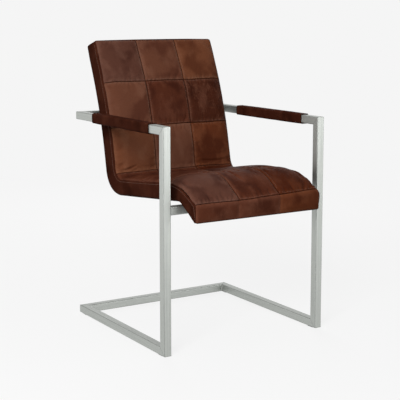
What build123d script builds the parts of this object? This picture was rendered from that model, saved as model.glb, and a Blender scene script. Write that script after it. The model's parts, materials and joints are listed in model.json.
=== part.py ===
"""Cantilever dining armchair: a square steel tube frame that carries one bent, leather-covered shell.

Millimetres, +Z up, the sitter faces -Y. The parts are drawn with y = 0 at the front face of the uprights and
the floor at z = 0, and are then moved so that the origin is the middle of the chair's footprint on the floor.
"""

import os
from math import ceil, cos, pi, radians, sin, tan

from build123d import *

# Steel frame
TUBE = 25.0
TUBE_WALL = 2.0
TUBE_CORNER = 2.5
FRAME_WIDTH = 577.0
RUNNER_DEPTH = 565.0
ARM_TOP = 676.0

# Floor glides
GLIDE_WIDTH = 18.0
GLIDE_LENGTH = 30.0
GLIDE_HEIGHT = 2.0
GLIDE_CORNER = 4.0
GLIDE_INSET = 30.0

# Arm sleeves
SLEEVE_FRONT = 84.0
SLEEVE_LENGTH = 364.0
SLEEVE_WADDING = 1.3
SLEEVE_LEATHER = 1.3
SLEEVE_LIP = 2.5
SLEEVE_CORNER = 6.0
SLEEVE_END_ROUND = 1.8

# Side line of the shell, along the seam between the patches and the side bands
SIDE_GAP = 39.5
FOLD_DEPTH = 418.0
FOLD_HEIGHT = 468.0
FOLD_RADIUS = 38.0
LOWER_BACK_RUN = 228.0
LOWER_RECLINE_ANGLE = 11.5
LUMBAR_RADIUS = 1300.0
UPPER_BACK_RUN = 236.0
UPPER_RECLINE_ANGLE = 23.5
SEAT_RUN = 387.0
SEAT_SLOPE_ANGLE = 5.5
CREST_RADIUS = 180.0
APRON_SLOPE_ANGLE = 25.0
LIP_OVERHANG = 68.0

# Underside of the shell
BACK_THICKNESS = 67.0
SEAT_THICKNESS = 54.0
FRONT_HEIGHT = 54.5
APRON_UNDER_ANGLE = 31.5
ARCH_RADIUS = 52.0
OUTER_FOLD_RADIUS = 86.0
TOP_REAR_RISE = 8.0

# Layers of the shell
LEATHER = 2.0
BAND = 3.0
GLUE = 0.3
PLYWOOD = 12.0
PLYWOOD_TOP_INSET = 15.0
PLYWOOD_SIDE_INSET = 6.0
PLYWOOD_NOSE_INSET = 30.0
BACK_WADDING = 15.0
SEAT_WADDING = 8.0

# Swell of the patches
COLUMNS = ("left", "centre", "right")
BACK_ROWS = ("back_top", "back_middle", "back_lower")
SEAT_ROWS = ("seat_rear", "seat_middle", "seat_front")
CREASE_LIFT = 8.0
BACK_CROWN = 5.5
FOLD_CROWN = 3.0
DIP_CROWN = 8.0
CREST_CROWN = 18.0
PATCH_PUFF = 4.0
LEAST_PUFF = 0.5
SHOULDER_RATIO = 0.8
STATION_STEP = 20.0
STATION_ANGLE = 12.0
REACH_STEP = 0.001

# Fixings
SEAT_TUBE_CLEARANCE = 1.0
BACK_TUBE_CLEARANCE = 10.0
SPACER_WIDTH = 50.0
SEAT_BOLT_SPREAD = 260.0
BACK_BOLT_SPREAD = 260.0
BOLT_RADIUS = 3.0
BOLT_HEAD_RADIUS = 5.5
BOLT_HEAD = 4.0
BOLT_TIP_INSET = 2.0
WASHER_RADIUS = 8.0
WASHER = 1.5
INSERT_RADIUS = 5.0
HOLE_CLEARANCE = 0.3
INSERT_CLEARANCE = 0.1

# Sizes that follow from the ones above
HALF_FRAME = FRAME_WIDTH / 2
HALF_SHELL = HALF_FRAME - TUBE - SIDE_GAP
HALF_FILLING = HALF_SHELL - BAND - GLUE
TUBE_AXIS_X = HALF_FRAME - TUBE / 2
SIDES = {"left": -1, "right": 1}
ACROSS = Vector(1, 0, 0)
BACKWARD = Vector(0, 1, 0)
UPWARD = Vector(0, 0, 1)


def leaning(angle):
    """Direction in the side view that rises and leans back by an angle from the vertical."""
    return Vector(0, sin(radians(angle)), cos(radians(angle)))


def rising(angle):
    """Direction in the side view that runs forward and rises by an angle from the level."""
    return Vector(0, -cos(radians(angle)), sin(radians(angle)))


def facing(along):
    """Direction square to a side line, on the sitter's side of it."""
    return Vector(0, along.Z, -along.Y)


def crossing(start, along, other, other_along):
    """Point of the side view where two straight lines cross."""
    apart = other - start
    parting = apart.Y * other_along.Z - apart.Z * other_along.Y
    closing = along.Y * other_along.Z - along.Z * other_along.Y
    return start + along * (parting / closing)


def shifted(corners, distances):
    """Corners of a side line after each run has moved square to itself, towards the sitter where positive."""
    runs = []
    for start, end, distance in zip(corners, corners[1:], distances):
        along = (end - start).normalized()
        runs.append((start + facing(along) * distance, along))
    last = (corners[-1] - corners[-2]).normalized()
    middle = [crossing(*run, *following) for run, following in zip(runs, runs[1:])]
    return [runs[0][0], *middle, corners[-1] + facing(last) * distances[-1]]


def ended(corners, top_inset, nose):
    """The same side line, begun lower by an inset and ended where it reaches a given y."""
    down = (corners[1] - corners[0]).normalized()
    last = (corners[-1] - corners[-2]).normalized()
    end = corners[-2] + last * ((nose - corners[-2].Y) / last.Y)
    return [corners[0] + down * top_inset, *corners[1:-1], end]


class SidePath:
    """A line of the side view, from the back's top to the seat's lip: straight runs joined by tangent arcs.

    The arc of the middle corner, where back and seat meet, is in two halves.
    """

    def __init__(self, corners, radii):
        self.spans = []
        start = corners[0]
        fold = corners[len(corners) // 2]
        for before, corner, after, radius in zip(corners, corners[1:], corners[2:], radii):
            arriving = (corner - before).normalized()
            leaving = (after - corner).normalized()
            half_turn = radians(arriving.get_angle(leaving)) / 2
            inward = (leaving - arriving).normalized()
            first = corner - arriving * (radius * tan(half_turn))
            middle = corner + inward * (radius / cos(half_turn) - radius)
            last = corner + leaving * (radius * tan(half_turn))
            self.spans.append(Edge.make_line(start, first))
            if corner is fold:
                self.spans.append(Edge.make_tangent_arc(first, arriving, middle))
                self.spans.append(Edge.make_tangent_arc(middle, arriving + leaving, last))
            else:
                self.spans.append(Edge.make_tangent_arc(first, arriving, last))
            start = last
        self.spans.append(Edge.make_line(start, corners[-1]))
        self.fold_span = len(self.spans) // 2
        self.length = sum(span.length for span in self.spans)
        self.fold_length = sum(span.length for span in self.spans[:self.fold_span])

    def at(self, travel):
        """Point and direction at a distance along the line."""
        for span in self.spans:
            if travel <= span.length or span is self.spans[-1]:
                share = min(travel / span.length, 1.0)
                return span.position_at(share), span.tangent_at(share)
            travel -= span.length

    def stations(self, begin, end):
        """Distances from begin to end, closer together where the line turns."""
        places = [begin]
        passed = 0.0
        for span in self.spans:
            low = max(begin, passed)
            high = min(end, passed + span.length)
            if high > low:
                turn = span.tangent_at(0).get_angle(span.tangent_at(1)) * (high - low) / span.length
                steps = max(ceil((high - low) / STATION_STEP), ceil(turn / STATION_ANGLE))
                places += [low + (high - low) * (i + 1) / steps for i in range(steps)]
            passed += span.length
        return places

    def reach(self, measure, value):
        """Point where a measure that falls along the line passes a value."""
        low, high = 0.0, self.length
        while high - low > REACH_STEP:
            middle = (low + high) / 2
            if measure(self.at(middle)[0]) > value:
                low = middle
            else:
                high = middle
        return self.at(low)[0]


# Side lines: the seam line that the sitter sees, and the line of the cover behind and below
fold_corner = Vector(0, FOLD_DEPTH, FOLD_HEIGHT)
lumbar_corner = fold_corner + leaning(LOWER_RECLINE_ANGLE) * LOWER_BACK_RUN
top_corner = lumbar_corner + leaning(UPPER_RECLINE_ANGLE) * UPPER_BACK_RUN
crest_corner = fold_corner + rising(SEAT_SLOPE_ANGLE) * SEAT_RUN
apron_run = (crest_corner.Y + LIP_OVERHANG) / cos(radians(APRON_SLOPE_ANGLE))
lip_corner = crest_corner + rising(-APRON_SLOPE_ANGLE) * apron_run
SEAM_CORNERS = [top_corner, lumbar_corner, fold_corner, crest_corner, lip_corner]

nose_bottom = lip_corner - UPWARD * FRONT_HEIGHT
moved_seam = shifted(SEAM_CORNERS, [-BACK_THICKNESS, -BACK_THICKNESS, -SEAT_THICKNESS, -SEAT_THICKNESS])
arch_corner = crossing(moved_seam[2], rising(SEAT_SLOPE_ANGLE), nose_bottom, rising(-APRON_UNDER_ANGLE))
rear_top_corner = moved_seam[0] + leaning(UPPER_RECLINE_ANGLE) * TOP_REAR_RISE
COVER_CORNERS = [rear_top_corner, *moved_seam[1:3], arch_corner, nose_bottom]
NOSE_FACE = -LIP_OVERHANG + LEATHER


def seam_path(depth, top_inset=0.0, nose=NOSE_FACE):
    """Line at a depth below the seam line."""
    corners = ended(shifted(SEAM_CORNERS, [-depth] * 4), top_inset, nose)
    return SidePath(corners, [LUMBAR_RADIUS - depth, FOLD_RADIUS + depth, CREST_RADIUS - depth])


def cover_path(back_lift, seat_lift, top_inset=0.0, nose=NOSE_FACE):
    """Line at a lift above the cover's rear and underside."""
    top_drop = TOP_REAR_RISE * back_lift / BACK_THICKNESS
    moved = shifted(COVER_CORNERS, [back_lift, back_lift, seat_lift, seat_lift])
    corners = ended(moved, top_inset + top_drop, nose)
    lumbar = LUMBAR_RADIUS - BACK_THICKNESS + back_lift
    fold = OUTER_FOLD_RADIUS - (back_lift + seat_lift) / 2
    return SidePath(corners, [lumbar, fold, ARCH_RADIUS + seat_lift])


def slab(outer_spans, inner_spans, x_low, x_high):
    """Solid between two lines of the side view, from one x to another."""
    first = Edge.make_line(outer_spans[-1].position_at(1), inner_spans[-1].position_at(1))
    last = Edge.make_line(inner_spans[0].position_at(0), outer_spans[0].position_at(0))
    outline = Face(Wire([*outer_spans, first, *inner_spans, last]))
    return Pos(x_low, 0, 0) * extrude(outline, amount=x_high - x_low, dir=ACROSS)


def layer(outer, inner, half_width, portion="whole"):
    """Layer of the shell between two side paths: the whole of it, its back or its seat."""
    span_range = {
        "whole": slice(None),
        "back": slice(None, outer.fold_span),
        "seat": slice(outer.fold_span, None),
    }[portion]
    return slab(outer.spans[span_range], inner.spans[span_range], -half_width, half_width)


# Levels of the shell's layers
wadding_low_lift = LEATHER + GLUE
wadding_high_back = wadding_low_lift + BACK_WADDING
wadding_high_seat = wadding_low_lift + SEAT_WADDING
plywood_low_back = wadding_high_back + GLUE
plywood_low_seat = wadding_high_seat + GLUE
plywood_high_back = plywood_low_back + PLYWOOD
plywood_high_seat = plywood_low_seat + PLYWOOD
filling_top = BAND + GLUE
filling_nose = NOSE_FACE + GLUE
plywood_nose = NOSE_FACE + PLYWOOD_NOSE_INSET

seam_line = seam_path(0.0, nose=-LIP_OVERHANG)
patch_base = seam_path(LEATHER)
cover_line = cover_path(0.0, 0.0)
cover_clearance = cover_path(-GLUE, -GLUE)

# Places of the two cross tubes, which follow the shell
seat_under_front = cover_line.reach(lambda point: point.Y, 0.0).Z
seat_under_rear = cover_line.reach(lambda point: point.Y, TUBE).Z
SEAT_TUBE_TOP = min(seat_under_front, seat_under_rear) - SEAT_TUBE_CLEARANCE
BACK_TUBE_FRONT = cover_line.reach(lambda point: point.Z, ARM_TOP).Y + BACK_TUBE_CLEARANCE
ARM_DEPTH = BACK_TUBE_FRONT + TUBE
SEAT_TUBE_AXIS_Y = TUBE / 2
BACK_TUBE_AXIS_Z = ARM_TOP - TUBE / 2

parts = {}


def bar(length):
    """Hollow square tube along +Z, centred on its axis."""
    inner_corner = max(TUBE_CORNER - TUBE_WALL, TUBE_WALL / 4)
    bore = TUBE - 2 * TUBE_WALL
    section = RectangleRounded(TUBE, TUBE, TUBE_CORNER) - RectangleRounded(bore, bore, inner_corner)
    return extrude(section, amount=length)


def side_cut(*outline):
    """Block that keeps what lies inside an outline of the side view, given as (y, z) pairs."""
    points = [(-FRAME_WIDTH, y, z) for y, z in outline]
    return extrude(Face(Wire.make_polygon(points, close=True)), amount=2 * FRAME_WIDTH, dir=ACROSS)


def top_cut(*outline):
    """Block that keeps what lies inside an outline of the top view, given as (x, y) pairs."""
    points = [(x, y, -ARM_TOP) for x, y in outline]
    return extrude(Face(Wire.make_polygon(points, close=True)), amount=3 * ARM_TOP, dir=UPWARD)


def lengthwise_bar(side, depth, bottom):
    """Side tube from front to rear, mitred at its rear end to meet a cross tube."""
    outer, inner = side * HALF_FRAME, side * (HALF_FRAME - TUBE)
    straight = Pos(side * TUBE_AXIS_X, 0, bottom + TUBE / 2) * Rot(-90, 0, 0) * bar(depth)
    return straight & top_cut((outer, 0), (outer, depth), (inner, depth - TUBE), (inner, 0))


def rear_bar(depth, bottom):
    """Cross tube at the rear, mitred at both ends."""
    straight = Pos(-HALF_FRAME, depth - TUBE / 2, bottom + TUBE / 2) * Rot(0, 90, 0) * bar(FRAME_WIDTH)
    inner = HALF_FRAME - TUBE
    front = depth - TUBE
    return straight & top_cut((-HALF_FRAME, depth), (HALF_FRAME, depth), (inner, front), (-inner, front))


def build_frame():
    """Side frames, rear floor tube and the two cross tubes that carry the shell."""
    floor = GLIDE_HEIGHT
    for name, side in SIDES.items():
        runner = lengthwise_bar(side, RUNNER_DEPTH, floor)
        parts[f"{name}_runner"] = runner & side_cut(
            (0, floor), (TUBE, floor + TUBE), (RUNNER_DEPTH, floor + TUBE), (RUNNER_DEPTH, floor))
        arm = lengthwise_bar(side, ARM_DEPTH, ARM_TOP - TUBE)
        parts[f"{name}_arm_tube"] = arm & side_cut(
            (0, ARM_TOP), (TUBE, ARM_TOP - TUBE), (ARM_DEPTH, ARM_TOP - TUBE), (ARM_DEPTH, ARM_TOP))
        upright = Pos(side * TUBE_AXIS_X, TUBE / 2, floor) * bar(ARM_TOP - floor)
        parts[f"{name}_upright"] = upright & side_cut(
            (0, floor), (TUBE, floor + TUBE), (TUBE, ARM_TOP - TUBE), (0, ARM_TOP))
    parts["rear_floor_tube"] = rear_bar(RUNNER_DEPTH, floor)
    parts["back_cross_tube"] = rear_bar(ARM_DEPTH, ARM_TOP - TUBE)
    clear_width = FRAME_WIDTH - 2 * TUBE
    axis_height = SEAT_TUBE_TOP - TUBE / 2
    seat_tube_end = Pos(-clear_width / 2, SEAT_TUBE_AXIS_Y, axis_height)
    parts["seat_cross_tube"] = seat_tube_end * Rot(0, 90, 0) * bar(clear_width)


def build_glides():
    """Thin pads under the ends of both runners."""
    pad = extrude(RectangleRounded(GLIDE_WIDTH, GLIDE_LENGTH, GLIDE_CORNER), amount=GLIDE_HEIGHT)
    for name, side in SIDES.items():
        for end, y in (("front", GLIDE_INSET), ("rear", RUNNER_DEPTH - GLIDE_INSET)):
            parts[f"{end}_{name}_glide"] = Pos(side * TUBE_AXIS_X, y, 0) * pad


def sleeve_block(width, corner, length):
    """Rounded square bar along +Y, from y = 0."""
    return Rot(-90, 0, 0) * extrude(RectangleRounded(width, width, corner), amount=length)


def build_arm_sleeves():
    """Wadding round each arm tube, and the leather sleeve that is sewn over it and turned in at its ends."""
    tube_space = TUBE + 2 * GLUE
    wadding_width = tube_space + 2 * SLEEVE_WADDING
    wadding_length = SLEEVE_LENGTH - 2 * (SLEEVE_LIP + GLUE)
    wadding_start = Pos(0, SLEEVE_LIP + GLUE, 0)
    sleeve_space = wadding_width + 2 * GLUE
    sleeve_width = sleeve_space + 2 * SLEEVE_LEATHER
    wadding_corner = TUBE_CORNER + GLUE + SLEEVE_WADDING
    bore = sleeve_block(tube_space, TUBE_CORNER, SLEEVE_LENGTH)
    wadding = wadding_start * sleeve_block(wadding_width, wadding_corner, wadding_length) - bore
    outside = sleeve_block(sleeve_width, SLEEVE_CORNER, SLEEVE_LENGTH)
    end_faces = outside.faces().sort_by(Axis.Y)
    outside = fillet(end_faces[0].edges() + end_faces[-1].edges(), SLEEVE_END_ROUND)
    cavity_length = wadding_length + 2 * GLUE
    cavity = Pos(0, SLEEVE_LIP, 0) * sleeve_block(sleeve_space, wadding_corner + GLUE, cavity_length)
    sleeve = outside - bore - cavity
    for name, side in SIDES.items():
        place = Pos(side * TUBE_AXIS_X, SLEEVE_FRONT, ARM_TOP - TUBE / 2)
        parts[f"{name}_arm_wadding"] = place * wadding
        parts[f"{name}_arm_sleeve"] = place * sleeve


def build_filling():
    """Bent plywood, the foam in front of it and the wadding behind it."""
    plywood_low = cover_path(plywood_low_back, plywood_low_seat, PLYWOOD_TOP_INSET, plywood_nose)
    plywood_high = cover_path(plywood_high_back, plywood_high_seat, PLYWOOD_TOP_INSET, plywood_nose)
    parts["plywood_shell"] = layer(plywood_high, plywood_low, HALF_FILLING - PLYWOOD_SIDE_INSET)

    foam_face = seam_path(LEATHER + GLUE, filling_top, filling_nose)
    foam_rear = cover_path(wadding_high_back + GLUE, wadding_high_seat + GLUE, filling_top, filling_nose)
    pocket_end = plywood_nose - GLUE
    pocket_top = PLYWOOD_TOP_INSET - GLUE
    pocket_high = cover_path(plywood_high_back + GLUE, plywood_high_seat + GLUE, pocket_top, pocket_end)
    pocket_low = cover_path(wadding_high_back - GLUE, wadding_high_seat - GLUE, pocket_top, pocket_end)
    pocket = layer(pocket_high, pocket_low, HALF_SHELL)
    wadding_high = cover_path(wadding_high_back, wadding_high_seat, filling_top, filling_nose)
    wadding_low = cover_path(wadding_low_lift, wadding_low_lift, filling_top, filling_nose)
    for portion, wadding in (("back", "back_wadding"), ("seat", "underside_wadding")):
        parts[f"{portion}_foam"] = layer(foam_face, foam_rear, HALF_FILLING, portion) - pocket
        parts[wadding] = layer(wadding_high, wadding_low, HALF_FILLING, portion)


def build_cover_panels():
    """Side bands, top band, rear panel and underside panel of the leather cover."""
    cover_front = cover_path(0.0, 0.0, nose=-LIP_OVERHANG)
    for name, side in SIDES.items():
        x_low, x_high = sorted((side * HALF_SHELL, side * (HALF_SHELL - BAND)))
        parts[f"{name}_side_band"] = slab(seam_line.spans, cover_front.spans, x_low, x_high)
    inside = cover_path(LEATHER, LEATHER)
    parts["rear_panel"] = layer(inside, cover_line, HALF_FILLING, "back")
    parts["underside_panel"] = layer(inside, cover_line, HALF_FILLING, "seat")

    down = leaning(UPPER_RECLINE_ANGLE) * -1
    across_top = rear_top_corner - top_corner
    margin = (LEATHER + GLUE) / BACK_THICKNESS
    front, rear = top_corner + across_top * margin, rear_top_corner - across_top * margin
    corners = [front, rear, rear + down * BAND, front + down * BAND]
    strip = Face(Wire.make_polygon([corner - ACROSS * HALF_FILLING for corner in corners], close=True))
    parts["top_band"] = extrude(strip, amount=2 * HALF_FILLING, dir=ACROSS)


def patch_section(point, along, x_low, x_high, edge_low, edge_high, crown):
    """Outline across a patch: a flat underside, two short sides and an arc over the top."""
    across_plane = Plane(origin=point, x_dir=ACROSS, z_dir=along)
    low_base, high_base = Vector(x_low, 0), Vector(x_high, 0)
    low_top, high_top = Vector(x_low, edge_low), Vector(x_high, edge_high)
    crest = Vector((x_low + x_high) / 2, crown)
    outline = Wire([
        Edge.make_line(low_base, high_base),
        Edge.make_line(high_base, high_top),
        Edge.make_three_point_arc(high_top, crest, low_top),
        Edge.make_line(low_top, low_base),
    ])
    return across_plane.from_local_coords(outline)


def build_patch_row(row, path, begin, end, first_crown, last_crown):
    """One row of patches: each swells between its seams, and the row's crown falls to the side bands."""
    width = 2 * HALF_FILLING / len(COLUMNS)
    begin, end = begin + GLUE, end - GLUE
    for index, column in enumerate(COLUMNS):
        x_low = -HALF_FILLING + index * width + (GLUE if index > 0 else 0.0)
        x_high = -HALF_FILLING + (index + 1) * width - (GLUE if index < len(COLUMNS) - 1 else 0.0)
        sections = []
        for travel in path.stations(begin, end):
            share = (travel - begin) / (end - begin)
            seam = first_crown * cos(pi / 2 * share) + last_crown * sin(pi / 2 * share)
            edge_low = LEATHER + (seam if index > 0 else 0.0)
            edge_high = LEATHER + (seam if index < len(COLUMNS) - 1 else 0.0)
            shoulder = 1.0 if edge_low == edge_high else SHOULDER_RATIO
            crown = LEATHER + seam * shoulder + LEAST_PUFF + PATCH_PUFF * sin(pi * share)
            point, along = path.at(travel)
            sections.append(patch_section(point, along, x_low, x_high, edge_low, edge_high, crown))
        parts[f"{row}_{column}_patch"] = Solid.make_loft(sections, ruled=True)


def build_patches():
    """Three rows of patches on the back, three on the seat and one on the front edge."""
    crease = patch_base.fold_length - CREASE_LIFT
    back_crowns = (0.0, BACK_CROWN, BACK_CROWN, FOLD_CROWN)
    seat_crowns = (FOLD_CROWN, DIP_CROWN, CREST_CROWN, 0.0)
    zones = (
        (BACK_ROWS, back_crowns, 0.0, crease),
        (SEAT_ROWS, seat_crowns, crease, patch_base.length),
    )
    for rows, crowns, start, end in zones:
        row_length = (end - start) / len(rows)
        for index, row in enumerate(rows):
            begin = start + row_length * index
            build_patch_row(row, patch_base, begin, begin + row_length, crowns[index], crowns[index + 1])
    front_top = patch_base.at(patch_base.length)[0]
    front_end = cover_line.at(cover_line.length)[0]
    front_path = SidePath([front_top, front_end], [])
    build_patch_row("front_edge", front_path, 0.0, front_path.length, 0.0, 0.0)


def rod(start, direction, radius, length):
    """Round bar from a point along a direction."""
    return extrude(Plane(origin=start, z_dir=direction) * Circle(radius), amount=length)


def hexagon(start, direction, radius, length):
    """Six-sided bar from a point along a direction."""
    return extrude(Plane(origin=start, z_dir=direction) * RegularPolygon(radius, 6), amount=length)


def fasten(group, heads, direction, tube, panel, wadding, spacer_block, tip):
    """Bolts from points on a cross tube's far face, through it and a spacer, into inserts in the plywood."""
    envelope = layer(seam_line, cover_clearance, HALF_SHELL)
    pieces = {name: [] for name in ("spacers", "bolts", "washers", "inserts")}
    reach = TUBE + BACK_THICKNESS + SEAT_THICKNESS
    for head in heads:
        washer_start = head - direction * WASHER
        hole = rod(washer_start, direction, BOLT_RADIUS + HOLE_CLEARANCE, reach)
        insert_hole = rod(head + direction * TUBE, direction, INSERT_RADIUS + INSERT_CLEARANCE, reach)
        insert_bar = rod(head + direction * TUBE, direction, INSERT_RADIUS, reach)
        pieces["inserts"].append((insert_bar & parts["plywood_shell"]) - hole)
        parts["plywood_shell"] -= insert_hole
        for node in (tube, panel, wadding):
            parts[node] -= hole
        pieces["spacers"].append(spacer_block(head) - envelope - hole)
        pieces["washers"].append(rod(washer_start, direction, WASHER_RADIUS, WASHER) - hole)
        shank = rod(washer_start, direction, BOLT_RADIUS, WASHER + tip(head))
        cap = hexagon(washer_start - direction * BOLT_HEAD, direction, BOLT_HEAD_RADIUS, BOLT_HEAD)
        pieces["bolts"].append(cap + shank)
    for name, solids in pieces.items():
        parts[f"{group}_{name}"] = Compound([solid for piece in solids for solid in piece.solids()])


def build_fixings():
    """Two bolts up through the seat cross tube and two forward through the back cross tube."""
    spacer_depth = TUBE - 2 * TUBE_CORNER
    seat_bottom = SEAT_TUBE_TOP - TUBE
    plywood_seat = cover_path(plywood_high_seat, plywood_high_seat)
    plywood_back = cover_path(plywood_high_back, plywood_high_back)
    seat_tip = plywood_seat.reach(lambda point: point.Y, SEAT_TUBE_AXIS_Y).Z - BOLT_TIP_INSET
    back_tip = plywood_back.reach(lambda point: point.Z, BACK_TUBE_AXIS_Z).Y + BOLT_TIP_INSET

    def seat_block(head):
        middle = head + UPWARD * (TUBE + SEAT_THICKNESS / 4)
        return Pos(*middle) * Box(SPACER_WIDTH, spacer_depth, SEAT_THICKNESS / 2)

    def back_block(head):
        depth = BACK_TUBE_CLEARANCE + BACK_THICKNESS / 2
        middle = head - BACKWARD * (TUBE + depth / 2)
        return Pos(*middle) * Box(SPACER_WIDTH, depth, spacer_depth)

    sides = SIDES.values()
    seat_heads = [Vector(side * SEAT_BOLT_SPREAD / 2, SEAT_TUBE_AXIS_Y, seat_bottom) for side in sides]
    fasten("seat", seat_heads, UPWARD, "seat_cross_tube", "underside_panel", "underside_wadding",
           seat_block, lambda head: seat_tip - head.Z)
    back_heads = [Vector(side * BACK_BOLT_SPREAD / 2, ARM_DEPTH, BACK_TUBE_AXIS_Z) for side in sides]
    fasten("back", back_heads, BACKWARD * -1, "back_cross_tube", "rear_panel", "back_wadding",
           back_block, lambda head: head.Y - back_tip)


def export_parts():
    """Moves the chair to the middle of its footprint and writes one file for each piece."""
    box = Compound([solid for shape in parts.values() for solid in shape.solids()]).bounding_box()
    middle = (box.min.Y + box.max.Y) / 2
    os.makedirs("parts", exist_ok=True)
    for name, shape in parts.items():
        solids = [Pos(0, -middle, 0) * solid for solid in shape.solids()]
        export_step(solids[0] if len(solids) == 1 else Compound(solids), f"parts/{name}.step")
    print("overall size", [round(size, 2) for size in box.size], "moved forward by", round(middle, 3))


build_frame()
build_glides()
build_arm_sleeves()
build_filling()
build_cover_panels()
build_patches()
build_fixings()
export_parts()
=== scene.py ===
"""Cantilever dining armchair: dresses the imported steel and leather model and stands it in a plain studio.

Metres, +Z up, the sitter faces -Y. Left and right are as a viewer in front of the chair sees them.
"""

from __future__ import annotations

import json
import logging
import math
from collections.abc import Callable, Sequence
from dataclasses import dataclass, field
from enum import Enum

import bpy
import numpy as np
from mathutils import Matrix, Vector, noise

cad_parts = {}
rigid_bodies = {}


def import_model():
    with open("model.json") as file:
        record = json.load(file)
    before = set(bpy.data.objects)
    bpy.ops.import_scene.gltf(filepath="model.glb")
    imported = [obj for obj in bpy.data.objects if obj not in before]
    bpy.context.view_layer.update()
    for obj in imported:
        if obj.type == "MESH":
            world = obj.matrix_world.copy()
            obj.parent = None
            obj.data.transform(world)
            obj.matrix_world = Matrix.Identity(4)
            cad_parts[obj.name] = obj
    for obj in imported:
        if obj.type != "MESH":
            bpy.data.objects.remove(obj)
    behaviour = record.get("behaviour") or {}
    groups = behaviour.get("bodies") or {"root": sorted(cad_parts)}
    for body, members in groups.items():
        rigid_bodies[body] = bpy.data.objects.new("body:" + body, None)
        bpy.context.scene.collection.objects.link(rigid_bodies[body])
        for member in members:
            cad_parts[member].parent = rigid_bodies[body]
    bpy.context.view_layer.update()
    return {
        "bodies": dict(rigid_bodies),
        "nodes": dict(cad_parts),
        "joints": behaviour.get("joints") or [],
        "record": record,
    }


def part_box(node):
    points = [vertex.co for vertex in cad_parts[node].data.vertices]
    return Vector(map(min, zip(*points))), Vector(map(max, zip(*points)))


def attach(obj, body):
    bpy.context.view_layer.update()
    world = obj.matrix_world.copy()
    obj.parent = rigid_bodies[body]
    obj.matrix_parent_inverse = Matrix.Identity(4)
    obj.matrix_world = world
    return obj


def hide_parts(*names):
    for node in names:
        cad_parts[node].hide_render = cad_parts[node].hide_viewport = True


LOG = logging.getLogger("armchair")
BODY = "root"
SEAM_ATTRIBUTE = "seam_mm"
MM = 0.001
MERGE_DISTANCE = 0.00002
PILLOW_POWER = 3
NOISE_STEPS = (1.0, 2.3, -1.7)
WHITE = (1.0, 1.0, 1.0, 1.0)
SIDES = (("left", -1.0), ("right", 1.0))

Colour = tuple[float, float, float]
Triple = tuple[float, float, float]
Range = tuple[float, float]
Array = np.ndarray
Place = Callable[[Array, Array, Array], Array]


def srgb(red: int, green: int, blue: int) -> Colour:
    """Turns a screen colour of 0 to 255 into the linear colour that shaders take.

    Args:
        red: Red of the screen colour.
        green: Green of the screen colour.
        blue: Blue of the screen colour.

    Returns:
        The linear colour.
    """
    linear = []
    for value in (red, green, blue):
        share = value / 255
        linear.append(share / 12.92 if share <= 0.04045 else ((share + 0.055) / 1.055) ** 2.4)
    return linear[0], linear[1], linear[2]


# Lines of the side view


def unit(vector: Array) -> Array:
    """Gives a vector the length 1."""
    return vector / np.linalg.norm(vector)


def leaning(angle: float) -> Array:
    """Direction (y, z) that rises and leans back by an angle in degrees from the vertical."""
    return np.array([math.sin(math.radians(angle)), math.cos(math.radians(angle))])


def rising(angle: float) -> Array:
    """Direction (y, z) that runs forward and rises by an angle in degrees from the level."""
    return np.array([-math.cos(math.radians(angle)), math.sin(math.radians(angle))])


def facing(along: Array) -> Array:
    """Direction square to a side line, on the sitter's side of it."""
    return np.stack([along[..., 1], -along[..., 0]], axis=-1)


def crossing(start: Array, along: Array, other: Array, other_along: Array) -> Array:
    """Finds where two straight lines of the side view cross.

    Args:
        start: Point of the first line.
        along: Direction of the first line.
        other: Point of the second line.
        other_along: Direction of the second line.

    Returns:
        The point (y, z) that both lines share.
    """
    apart = other - start
    parting = apart[0] * other_along[1] - apart[1] * other_along[0]
    closing = along[0] * other_along[1] - along[1] * other_along[0]
    return start + along * (parting / closing)


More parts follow.
